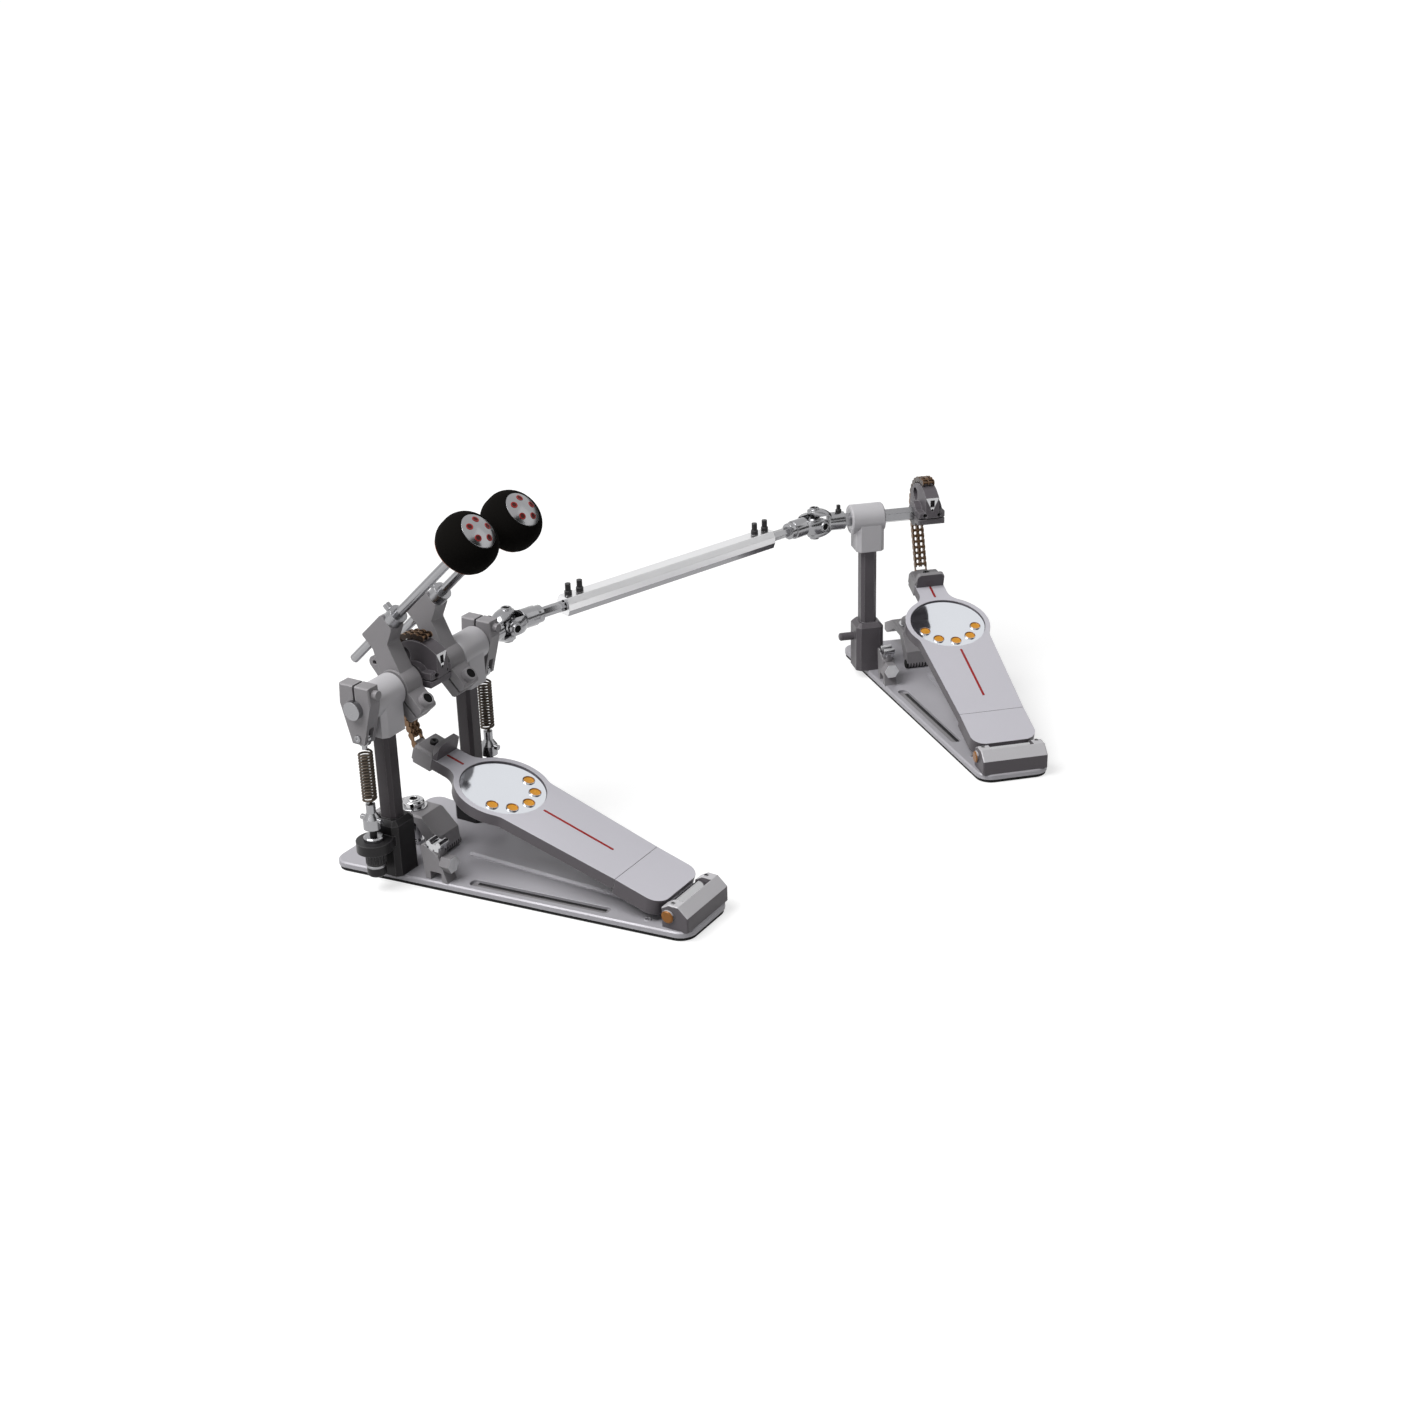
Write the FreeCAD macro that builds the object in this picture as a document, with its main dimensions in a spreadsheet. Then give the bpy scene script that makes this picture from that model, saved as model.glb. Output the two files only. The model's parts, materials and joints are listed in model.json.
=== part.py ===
import FreeCAD, Part
import math
import os
import Sketcher
from FreeCAD import Placement, Rotation, Vector

# Double bass drum pedal: a main pedal with two beaters, and a slave pedal that works the second
# beater through a telescopic link with a universal joint at each end.
# Frame: +X along the main axle towards the slave pedal, +Y towards the drum, +Z up, in millimetres.
# The origin lies on the floor under the middle of the main axle. Each pedal is drawn in its own
# frame of the same kind, "side" outlines are (y, z), and board outlines are (x, distance from hinge).

SIZES = {
    # Base plate and rubber mat, the same on both pedals
    "axle_height": 166, "base_front": 57.5, "base_back": 273.3, "base_front_half": 70.8,
    "base_back_half": 32.75, "base_front_round": 12, "base_back_round": 14, "mat_thick": 3,
    "mat_inset": 0.8, "plate_thick": 5, "plate_bevel": 1.2, "spine_front": 40, "spine_back": 238,
    "spine_half": 9, "spine_rise": 3, "spine_bevel": 2, "channel_front": 70, "channel_back": 198,
    "channel_edge": 6, "channel_wide": 10, "channel_deep": 2.5, "channel_round": 4,
    # Heel block and the hinge bar that it holds
    "hinge_back": 254.1, "hinge_height": 18.9, "heel_inset": 1.75, "heel_top": 29, "heel_back_top": 21,
    "heel_back_slope": 9, "heel_behind": 18, "heel_ahead": 6.6, "heel_front_drop": 4,
    "heel_edge": 1.5, "notch_half": 20.5, "notch_behind": 8.7, "notch_floor": 10.4,
    "bar_radius": 7.5, "bar_end_gap": 0.3, "journal_radius": 4, "journal_long": 6.2,
    "running_gap": 0.05, "cap_radius": 5.5, "cap_proud": 2.4, "cap_bevel": 1,
    # Footboard, measured along it from the hinge and square to it
    "board_tilt": 16.16, "board_top": 5.9, "board_deep": 10, "board_skin": 4.5, "board_wall": 3,
    "deck_start": 9, "deck_end": 52.7, "deck_round": 13, "deck_deep": 14, "deck_lug_half": 19,
    "deck_lug_long": 9, "seam_gap": 0.35, "lip_long": 9, "lip_thick": 2.2, "lip_side_gap": 0.4,
    "board_start_half": 31.2,
    "shoulder_half": 36, "disc_at": 187.9, "boss_radius": 41.5,
    "neck_at": 222, "neck_half": 14.5, "neck_round": 16, "toe_end": 272, "disc_radius": 36.4,
    "disc_gap": 0.3, "recess_deep": 3, "disc_thick": 1.6, "stud_radius": 5.2, "stud_circle": 26.7,
    "stud_step_angle": 36.5, "stud_high": 2.6, "stud_bevel": 0.8, "toe_start": 252, "toe_top": 10,
    "toe_bottom": -7, "toe_bevel": 2, "stop_half": 14, "stop_thick": 4.5, "stop_top": 20.5,
    "stop_round": 4, "tongue_half": 4.5, "tongue_radius": 3, "pull_at": 277, "pull_rise": 2,
    # Posts and bearing housings
    "main_post": 54.5, "slave_post": 60, "post_half": 8, "post_bevel": 3, "post_top_drop": 16,
    "socket_half": 14, "socket_bevel": 4, "socket_top": 58, "sleeve_half": 14, "sleeve_bevel": 4,
    "sleeve_drop": 31, "housing_radius": 14.5, "housing_inner": 15, "housing_outer": 18.5,
    "housing_bore": 7.5, "bearing_radius": 10, "bearing_wide": 7, "axle_flats": 12,
    "journal_axle_radius": 6, "side_gap": 0.5, "post_screw_radius": 4, "post_screw_long": 15,
    "post_screw_height": 42,
    # Spring rockers, hooks, springs and tension screws, outside the main posts
    "spring_out": 79.5, "rocker_half": 6.5, "rocker_top": 20, "rocker_wide": 15, "rocker_waist": 16,
    "rocker_waist_rise": 6, "rocker_tip": 6, "rocker_pin_drop": 26, "rocker_tip_below": 5,
    "rocker_slot": 1, "rocker_screw": 2.4, "rocker_screw_head": 3.8, "rocker_screw_head_long": 5,
    "rocker_screw_rise": 13.5, "rocker_screw_front": 10, "rocker_screw_back": 20,
    "fork_gap_half": 3, "fork_deep": 9, "pin_radius": 1.8, "hook_ring": 6.6, "hook_eye": 4.6,
    "hook_half": 1.9, "hook_hang": 2.4, "hook_shank": 2.3, "hook_drop": 37.5, "wire": 1.9,
    "coil_radius": 5.4, "coil_pitch": 2.45, "coil_lead": 3.2, "nut_top": 79,
    "nut_neck": 4, "nut_shoulder": 71, "nut_body": 7.5, "nut_body_low": 57, "nut_taper": 5,
    "nut_ear": 2.4, "nut_ear_out": 10.5, "nut_ear_height": 65, "ear_top": 46, "ear_thick": 9,
    "ear_radius": 15, "ear_web_half": 12, "tension_rod": 3, "rod_top": 74, "rod_room": 0.5,
    "knob_radius": 8, "knob_low": 14, "knob_gap": 0.3, "knob_groove": 1, "knob_groove_low": 8,
    "knob_groove_high": 2.4, "knob_bevel": 1.2, "lock_nut": 8.5, "lock_nut_high": 4,
    # Beater holders and beaters, drawn along and across an arm that leans with the beater
    "beater_out": 28.7, "beater_lean_angle": 46, "beater_arm": 42, "holder_half": 9.6, "arm_half": 8,
    "hub_radius": 15, "block_outer": 50, "block_inner": 35, "block_low": 7, "block_high": 37,
    "arm_notch": 29, "arm_notch_high": 22.5, "arm_root_high": 13, "arm_root_low": 13,
    "arm_step": 22, "lug_long": 31, "lug_half": 9.5, "holder_slot": 1, "holder_bevel": 1, "holder_ear": 5.6,
    "holder_ear_at": 27, "holder_ear_drop": 4.8, "holder_ear_half": 4, "holder_ear_hole": 1.9,
    "shaft_radius": 4, "shaft_below": 25.7, "head_centre": 152.5, "head_radius": 24.8, "head_long": 37,
    "head_tip_round": 17, "head_shaft_round": 15, "cap_cover": 16, "cap_dome": 39,
    "cap_sink": 2.6, "collar_radius": 8, "collar_long": 10, "key_radius": 3.2, "key_long": 6,
    "lug_screw": 4, "lug_screw_at": 24, "lug_screw_head": 5,
    # Cam, and the double roller chain that it winds
    "chain_radius": 33, "chain_pitch": 6.35, "chain_plate_high": 5.6, "chain_half": 6,
    "chain_plate": 0.8, "chain_inner": 4.5, "chain_middle": 0.95, "chain_roller": 1.3,
    "chain_pin": 0.8, "pull_link": 8.6, "chain_gap": 0.6, "chain_hinge_angle": 12, "chain_anchor_angle": 118,
    "cam_half": 6.8, "cam_start_angle": 32, "cam_sweep_angle": 150,
    "cam_hub_radius": 12, "cam_hub_half": 13.5,
    "cam_window": 6.5, "cam_window_at": 20, "cam_window_angle": 52, "clamp_out": 20,
    "clamp_half": 6.5, "clamp_wide_half": 13.5, "clamp_slot": 0.7, "clamp_screw": 1.9,
    "clamp_screw_out": 7, "clamp_screw_rise": 3.4, "clamp_screw_deep": 3,
    "anchor_out": 21.5, "anchor_high": 21.5, "anchor_slot": 2.2, "anchor_slot_low": 12,
    "anchor_slot_high": 19, "anchor_slot_deep": 5, "anchor_hole": 1.2, "anchor_hole_at": 9,
    # Universal joints
    "main_joint": 117.2, "slave_joint": 114.2, "ball_radius": 15, "arm_wide_half": 7.2,
    "yoke_slot_half": 8.3, "yoke_slot_deep": 14.2, "yoke_neck": 19, "yoke_hub": 9,
    "yoke_hub_long": 11, "cross_radius": 7.7, "trunnion": 2.5, "trunnion_long": 14.2,
    "open_pivot_gap": 0.9,
    # Telescopic link
    "link_length": 372.6, "main_bend_angle": 17.25, "slave_bend_angle": 28.8, "link_flats": 9.5,
    "slide_gap": 0.1, "tube_near": 62, "tube_far": 60.6, "tube_half": 8.6, "tube_top_half": 6.2,
    "tube_waist": 3, "drive_rod_in": 70, "slide_rod_in": 85, "link_screw": 2.6,
    "link_screw_near": 6, "link_screw_step": 13, "link_screw_high": 11, "link_screw_head": 3.4,
    "link_screw_head_high": 4, "link_collar": 8, "link_collar_long": 6,
    # Hoop clamp on the main pedal, and the like bridge on the slave pedal
    "bridge_centre": -10, "bridge_half": 14, "bridge_tip_back": 18, "bridge_tip": 4.2,
    "bridge_swell_back": 20.5, "bridge_swell_high": 18,
    "bridge_rise": 34, "bridge_crown_back": 4, "bridge_crown_front": 30, "bridge_thick": 7,
    "bridge_jaw": 56, "bridge_jaw_high": 13, "bridge_jaw_thick": 8, "bridge_seat_gap": 0.3,
    "bridge_bevel": 1.5, "bolt_at": 14, "bolt_radius": 4.5, "bolt_hole": 4.6, "bolt_head": 9,
    "bolt_head_high": 7, "bolt_head_round": 2.5, "bolt_foot": 6.5, "bolt_foot_high": 3,
    # Side spur: wedge over an arch with a key screw on its saddle, and a nut behind its back slope
    "spur_out": 51.5, "spur_half": 6, "spur_front_foot": 33, "spur_front": 29.5,
    "spur_crest": 34.5, "spur_high": 31, "spur_saddle": 47.5, "spur_saddle_high": 23,
    "spur_back": 55.5, "spur_bend": 1.8, "spur_key_at": 43, "spur_key_radius": 5.6,
    "spur_key_low": 20, "spur_key_high": 29, "spur_wing": 2.6, "spur_wing_out": 5,
    "spur_wing_long": 5.5, "spur_wing_high": 36, "spur_square": 2, "spur_nut_flats": 13,
    "spur_nut_long": 8.5, "spur_nut_height": 16, "spur_nut_in": 1.1,
    "spur_arch_front": 38, "spur_arch_back": 49.5, "spur_arch_high": 8,
    # Length that cuts run past a face
    "overrun": 2,
}

# A quarter turn in degrees, and how near two places count as one
QUARTER = 90
NEAR = 1e-6
# Shares that follow other sizes
HEX_SIDES = 6
HEX_CORNER_SHARE = 1 / math.sqrt(3)
STUD_STEPS = (-2, -1, 0, 1, 2)
# Half outline of a chain plate's end about its joint, along and across it, in shares of its end's
# radius, and the share that is left at its waist
LINK_END_SHARES = ((-1, 0.4), (-0.45, 0.95), (0.5, 0.95))
LINK_WAIST_SHARE = 0.55


class Size:
    """A length or angle with its value, and its expression in cells of the sheet."""

    def __init__(self, text, value):
        self.text = text
        self.value = value

    def _join(self, sign, other, value, swap=False):
        right = other.text if isinstance(other, Size) else repr(other)
        first, second = (right, self.text) if swap else (self.text, right)
        return Size(f"({first} {sign} {second})", value)

    def __add__(self, other):
        return self._join("+", other, self.value + float(other))

    def __radd__(self, other):
        return self._join("+", other, float(other) + self.value, swap=True)

    def __sub__(self, other):
        return self._join("-", other, self.value - float(other))

    def __rsub__(self, other):
        return self._join("-", other, float(other) - self.value, swap=True)

    def __mul__(self, other):
        return self._join("*", other, self.value * float(other))

    def __rmul__(self, other):
        return self * other

    def __truediv__(self, other):
        return self._join("/", other, self.value / float(other))

    def __neg__(self):
        return Size(f"(-{self.text})", -self.value)

    def __float__(self):
        return float(self.value)


class Sheet:
    """The spreadsheet of driving sizes: each one is read as an attribute."""

    def __init__(self, document, sizes):
        self.cells = document.addObject("Spreadsheet::Sheet", "Sizes")
        for row, (alias, value) in enumerate(sizes.items(), start=1):
            self.cells.set(f"A{row}", alias)
            self.cells.set(f"B{row}", str(value))
            self.cells.setAlias(f"B{row}", alias)
        document.recompute()

    def __getattr__(self, alias):
        return Size(f"Sizes.{alias}", float(getattr(self.cells, alias)))


doc = FreeCAD.newDocument("double_pedal")
S = Sheet(doc, SIZES)
NODES = {}


def bind(feature, prop, size):
    """Tie a property to a size's cells, or set it where the size is a plain zero."""
    if isinstance(size, Size):
        feature.setExpression(prop, size.text)
    elif "." not in prop:
        setattr(feature, prop, size)


def at(feature, place):
    """Tie a feature's position to three sizes."""
    for axis, size in zip("xyz", place):
        bind(feature, f"Placement.Base.{axis}", size)
    return feature


def new(kind, name):
    """A new feature of the document."""
    return doc.addObject(kind, name)


def box(name, low, high):
    """A block between two corners."""
    block = new("Part::Box", name)
    for prop, a, b in zip(("Length", "Width", "Height"), low, high):
        bind(block, prop, b - a)
    return at(block, low)


TURN = {"x": Rotation(Vector(0, 1, 0), QUARTER), "y": Rotation(Vector(1, 0, 0), -QUARTER), "z": Rotation()}


def rod(name, radius, foot, length, axis="z", kind="Part::Cylinder"):
    """A round bar from its foot along an axis of the pedal."""
    bar = new(kind, name)
    bar.Placement = Placement(Vector(), TURN[axis])
    bind(bar, "Radius", radius)
    bind(bar, "Height", length)
    return at(bar, foot)


def hexagon(name, flats, foot, length, axis="x"):
    """A hexagonal bar from its foot along an axis, sized across its flats."""
    bar = new("Part::Prism", name)
    bar.Polygon = HEX_SIDES
    bar.Placement = Placement(Vector(), TURN[axis])
    bind(bar, "Circumradius", flats * HEX_CORNER_SHARE)
    bind(bar, "Height", length)
    return at(bar, foot)


def cone(name, low_radius, high_radius, foot, length):
    """An upright taper from its foot."""
    taper = new("Part::Cone", name)
    bind(taper, "Radius1", low_radius)
    bind(taper, "Radius2", high_radius)
    bind(taper, "Height", length)
    return at(taper, foot)


def ball(name, radius, centre):
    """A ball about a centre."""
    sphere = new("Part::Sphere", name)
    bind(sphere, "Radius", radius)
    return at(sphere, centre)


def fuse(name, *pieces):
    """One solid from several pieces."""
    joined = new("Part::MultiFuse", name)
    joined.Shapes = list(pieces)
    return joined


def cut(name, base, *tools):
    """A solid less its tools."""
    rest = new("Part::Cut", name)
    rest.Base = base
    rest.Tool = tools[0] if len(tools) == 1 else fuse(f"{name}_tools", *tools)
    return rest


def common(name, first, second):
    """What two solids share."""
    shared = new("Part::Common", name)
    shared.Base = first
    shared.Tool = second
    return shared


def group(name, *pieces):
    """Separate solids that share a node."""
    together = new("Part::Compound", name)
    together.Links = list(pieces)
    return together


def edges_where(feature, test):
    """Numbers of the edges whose two end points and middle pass a test."""
    doc.recompute()
    found = []
    for number, edge in enumerate(feature.Shape.Edges, start=1):
        middle = edge.valueAt((edge.FirstParameter + edge.LastParameter) / 2)
        if test(edge.Vertexes[0].Point, edge.Vertexes[-1].Point, middle):
            found.append(number)
    return found


def soften(name, feature, radius, test, kind="Part::Fillet"):
    """Round or bevel the edges that pass a test."""
    softened = new(kind, name)
    softened.Base = feature
    softened.Edges = [(edge, float(radius), float(radius)) for edge in edges_where(feature, test)]
    return softened


def bevel(name, feature, radius, test):
    """Bevel the edges that pass a test."""
    return soften(name, feature, radius, test, kind="Part::Chamfer")


def upright(first, last, _middle):
    """Whether an edge stands straight up."""
    return math.dist((first.x, first.y), (last.x, last.y)) < abs(first.z - last.z) * NEAR


def level_at(height):
    """A test for edges that lie at one height."""
    return lambda first, last, middle: max(
        abs(point.z - float(height)) for point in (first, last, middle)) < NEAR


FLAT = Placement()
HALF_TURN = Rotation(Vector(0, 0, 1), 180)
SIDE = Placement(Vector(), Rotation(Vector(1, 1, 1), 120))
BOARD = Placement(Vector(0, -float(S.hinge_back), float(S.hinge_height)),
                  Rotation(Vector(1, 0, 0), float(S.board_tilt)))
AXLE = Placement(Vector(0, 0, float(S.axle_height)), Rotation())
HOLDER = AXLE * Placement(Vector(), Rotation(Vector(1, 0, 0), float(S.beater_lean_angle))) * SIDE


def outline(body, name, points, lift):
    """A closed sketch of straight lines, each corner tied to two sizes."""
    sketch = body.newObject("Sketcher::SketchObject", name)
    plane = [item for item in body.Origin.OriginFeatures if item.Role == "XY_Plane"][0]
    sketch.AttachmentSupport = (plane, [""])
    sketch.MapMode = "FlatFace"
    bind(sketch, "AttachmentOffset.Base.z", lift)
    corners = [Vector(float(across), float(along), 0) for across, along in points]
    count = len(corners)
    for index, corner in enumerate(corners):
        sketch.addGeometry(Part.LineSegment(corner, corners[(index + 1) % count]))
    for index in range(count):
        sketch.addConstraint(Sketcher.Constraint("Coincident", index, 2, (index + 1) % count, 1))
    for index, (across, along) in enumerate(points):
        for axis, size, line in (("X", across, -2), ("Y", along, -1)):
            if not isinstance(size, Size):
                sketch.addConstraint(Sketcher.Constraint("PointOnObject", index, 1, line))
                continue
            tie = sketch.addConstraint(Sketcher.Constraint(f"Distance{axis}", index, 1, float(size)))
            sketch.renameConstraint(tie, f"{axis.lower()}_{index}")
            sketch.setExpression(f"Constraints.{axis.lower()}_{index}", size.text)
    return sketch


def prism(name, points, low, high, frame=FLAT):
    """A plate with a drawn outline, from one height to another in its frame."""
    body = new("PartDesign::Body", name)
    sketch = outline(body, f"{name}_outline", points, low)
    pad = body.newObject("PartDesign::Pad", f"{name}_pad")
    pad.Profile = sketch
    bind(pad, "Length", high - low)
    body.Placement = frame
    return body


def mirrored(points):
    """An outline's right half and its mirror image, in order."""
    return points + [(-across, along) for across, along in reversed(points)]


def octagon(centre, half, corner):
    """A square outline about (centre, 0) with bevelled corners."""
    inner = half - corner
    return [(centre + across, along) for across, along in (
        (half, inner), (inner, half), (-inner, half), (-half, inner),
        (-half, -inner), (-inner, -half), (inner, -half), (half, -inner))]


def node(name, feature, pedal=FLAT, frame=None):
    """Name a finished sub-part and set it in its pedal's place."""
    feature.Label = name
    feature.Placement = pedal * (feature.Placement if frame is None else frame)
    NODES[name] = feature
    return feature


PLATE_TOP = S.mat_thick + S.plate_thick
HEEL_HALF = S.base_back_half - S.heel_inset
POST_TOP = S.axle_height - S.post_top_drop
SLEEVE_BOTTOM = S.axle_height - S.sleeve_drop
HOOK_BOTTOM = S.axle_height - S.hook_drop
TUBE_END = S.link_length - S.tube_far


def base_half(back):
    """Half the base's width at a distance behind the axle."""
    slope = (S.base_front_half - S.base_back_half) / (S.base_back + S.base_front)
    return S.base_back_half + slope * (S.base_back - back)


def base_plate(pedal, place):
    """Tapered plate with a raised spine and a channel along each side."""
    name = f"{pedal}_base_plate"
    plate = prism(f"{name}_blank", mirrored([
        (S.base_front_half, S.base_front), (S.base_back_half, -S.base_back)]), S.mat_thick, PLATE_TOP)
    ends = {True: S.base_front_round, False: S.base_back_round}
    for front, radius in ends.items():
        plate = soften(f"{name}_round_{front}", plate, radius,
                       lambda a, b, m, front=front: upright(a, b, m) and (m.y > 0) == front)
    plate = bevel(f"{name}_edge", plate, S.plate_bevel, level_at(PLATE_TOP))
    spine = prism(f"{name}_spine", mirrored([
        (S.spine_half, -S.spine_front), (S.spine_half, -S.spine_back)]),
        S.mat_thick + S.plate_bevel, PLATE_TOP + S.spine_rise)
    spine = bevel(f"{name}_spine_edge", spine, S.spine_bevel, level_at(PLATE_TOP + S.spine_rise))
    channels = []
    for side in (-1, 1):
        def edge(back, inset):
            return (base_half(back) - inset) * side
        inner = S.channel_edge + S.channel_wide
        channel = prism(f"{name}_channel_{side + 1}", [
            (edge(S.channel_front, S.channel_edge), -S.channel_front),
            (edge(S.channel_back, S.channel_edge), -S.channel_back),
            (edge(S.channel_back, inner), -S.channel_back),
            (edge(S.channel_front, inner), -S.channel_front)],
            PLATE_TOP - S.channel_deep, PLATE_TOP + S.overrun)
        channels.append(soften(f"{name}_channel_round_{side + 1}", channel, S.channel_round, upright))
    return node(name, cut(name, fuse(f"{name}_body", plate, spine), *channels), place)


def base_mat(pedal, place):
    """Rubber mat under the plate, a little inside its edge."""
    name = f"{pedal}_base_mat"
    mat = prism(f"{name}_blank", mirrored([
        (S.base_front_half - S.mat_inset, S.base_front - S.mat_inset),
        (S.base_back_half - S.mat_inset, S.mat_inset - S.base_back)]), S.mat_thick - S.mat_thick,
        S.mat_thick)
    ends = {True: S.base_front_round, False: S.base_back_round}
    for front, radius in ends.items():
        mat = soften(f"{name}_{front}", mat, radius,
                     lambda a, b, m, front=front: upright(a, b, m) and (m.y > 0) == front)
    return node(name, mat, place)


def heel_block(pedal, place):
    """Block with a notch for the hinge bar, and an amber cap over each end of the bar's bore."""
    name = f"{pedal}_heel_block"
    hinge, top = -S.hinge_back, S.heel_top
    block = prism(f"{name}_blank", [
        (hinge - S.heel_behind, PLATE_TOP), (hinge - S.heel_behind, S.heel_back_top),
        (hinge - S.heel_behind + S.heel_back_slope, top), (hinge, top),
        (hinge + S.heel_ahead, top - S.heel_front_drop), (hinge + S.heel_ahead, PLATE_TOP)],
        -HEEL_HALF, HEEL_HALF, SIDE)
    block = soften(f"{name}_edge", block, S.heel_edge,
                   lambda a, b, m: abs(abs(m.x) - float(HEEL_HALF)) < NEAR
                   and m.z > float(PLATE_TOP) + float(S.heel_edge))
    notch = box(f"{name}_notch", (-S.notch_half, hinge - S.notch_behind, S.notch_floor),
                (S.notch_half, hinge + S.heel_ahead + S.overrun, top + S.overrun))
    reach = S.notch_half + S.journal_long
    bore = rod(f"{name}_bore", S.journal_radius + S.running_gap, (-reach, hinge, S.hinge_height),
               reach * 2, "x")
    seats, caps = [], []
    for side, foot in (("left", -HEEL_HALF - S.cap_proud), ("right", reach)):
        long = HEEL_HALF + S.cap_proud - reach
        seats.append(rod(f"{name}_{side}_seat", S.cap_radius, (foot, hinge, S.hinge_height), long, "x"))
        cap = rod(f"{name}_{side}_cap", S.cap_radius, (foot, hinge, S.hinge_height), long, "x")
        caps.append(bevel(f"{name}_{side}_cap_edge", cap, S.cap_bevel,
                          lambda a, b, m: abs(m.x) > float(HEEL_HALF)))
    body = cut(f"{name}_body", block, notch, bore, *seats)
    return node(name, group(name, body, *caps), place)


def on_board(name, feature, place):
    """Set a board piece in its pedal, tilted about the hinge."""
    return node(name, feature, place, BOARD)


def footboard(pedal, place):
    """Board with a round boss for the disc, a narrow neck, a toe block, a toe stop and a chain tongue."""
    name = f"{pedal}_footboard"
    low, top, wall = S.board_top - S.board_deep, S.board_top, S.board_wall
    start = S.deck_end + S.seam_gap
    sides = [(S.board_start_half, start), (S.shoulder_half, S.disc_at), (S.neck_half, S.neck_at),
             (S.neck_half, S.toe_end)]
    inner = [(across - wall, along) for across, along in sides[:-1]] + [
        (S.neck_half - wall, S.toe_start - wall)]
    inner[0] = (inner[0][0], start - S.overrun)
    board = fuse(f"{name}_plan", prism(f"{name}_plank", mirrored(sides), low, top),
                 rod(f"{name}_boss", S.boss_radius, (0, S.disc_at, low), S.board_deep))
    board = soften(f"{name}_neck", board, S.neck_round,
                   lambda a, b, m: upright(a, b, m) and float(start + wall) < m.y < float(S.toe_start))
    hollow = fuse(f"{name}_hollow", prism(f"{name}_hollow_plank", mirrored(inner), low - S.overrun,
                                          top - S.board_skin),
                  rod(f"{name}_hollow_boss", S.boss_radius - wall, (0, S.disc_at, low - S.overrun),
                      S.board_deep - S.board_skin + S.overrun))
    recess = rod(f"{name}_recess", S.disc_radius + S.disc_gap, (0, S.disc_at, top - S.recess_deep),
                 S.recess_deep + S.overrun)
    toe = bevel(f"{name}_toe_edge", box(f"{name}_toe", (-S.neck_half, S.toe_start, S.toe_bottom),
                                        (S.neck_half, S.toe_end, S.toe_top)), S.toe_bevel,
                lambda a, b, m: abs(m.z - float(S.toe_top)) < NEAR or (
                    upright(a, b, m) and m.y > float(S.toe_start)))
    stop = soften(f"{name}_stop_round", box(
        f"{name}_stop", (-S.stop_half, S.toe_start - S.stop_thick, top - S.board_skin),
        (S.stop_half, S.toe_start, S.stop_top)), S.stop_round,
        lambda a, b, m: abs(m.z - float(S.stop_top)) < NEAR and abs(a.x - b.x) < NEAR)
    tongue = box(f"{name}_tongue",
                 (-S.tongue_half, S.toe_end - S.toe_bevel, S.pull_rise - S.tongue_radius),
                 (S.tongue_half, S.pull_at, S.pull_rise + S.tongue_radius))
    tip = rod(f"{name}_tongue_tip", S.tongue_radius, (-S.tongue_half, S.pull_at, S.pull_rise),
              S.tongue_half * 2, "x")
    shell = cut(f"{name}_shell", board, hollow, recess)
    return on_board(name, fuse(name, shell, toe, stop, tongue, tip), place)


def heel_deck(pedal, place):
    """Heel section of the footboard: a tray with a lug against the hinge bar and a lip under the board."""
    name = f"{pedal}_heel_deck"
    low, top, wall = S.board_top - S.deck_deep, S.board_top, S.board_wall
    half = S.board_start_half
    tray = prism(f"{name}_blank", mirrored([(half, S.deck_start), (half, S.deck_end)]), low, top)
    tray = soften(f"{name}_round", tray, S.deck_round,
                  lambda a, b, m: upright(a, b, m) and m.y < float(S.deck_end) / 2)
    hollow = prism(f"{name}_hollow", mirrored([
        (half - wall, S.deck_start + wall), (half - wall, S.deck_end - wall)]),
        low - S.overrun, top - S.board_skin)
    hollow = soften(f"{name}_hollow_round", hollow, S.deck_round - wall, upright)
    under = top - S.board_skin
    lug = box(f"{name}_lug", (-S.deck_lug_half, 0 * wall, wall - S.bar_radius),
              (S.deck_lug_half, S.deck_start + wall + S.deck_lug_long, under))
    lip_half = half - wall - S.lip_side_gap
    lip = box(f"{name}_lip", (-lip_half, S.deck_end - wall, under - S.lip_thick),
              (lip_half, S.deck_end + S.lip_long, under))
    bar = rod(f"{name}_bar_seat", S.bar_radius, (-S.notch_half, 0, 0), S.notch_half * 2, "x")
    body = fuse(f"{name}_body", cut(f"{name}_tray", tray, hollow), lug, lip)
    return on_board(name, cut(name, body, bar), place)


def hinge_bar(pedal, place):
    """Bright bar in the heel block's notch, with a journal at each end."""
    name = f"{pedal}_hinge_bar"
    half = S.notch_half - S.bar_end_gap
    reach = S.notch_half + S.journal_long - S.bar_end_gap
    body = rod(f"{name}_body", S.bar_radius, (-half, 0, 0), half * 2, "x")
    journal = rod(f"{name}_journal", S.journal_radius, (-reach, 0, 0), reach * 2, "x")
    return on_board(name, fuse(name, body, journal), place)


def stud_places():
    """Centres of the studs, on an arc on the heel side of the disc."""
    for step in STUD_STEPS:
        turn = math.radians(step * float(S.stud_step_angle))
        yield S.stud_circle * math.sin(turn), S.disc_at - S.stud_circle * math.cos(turn)


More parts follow.
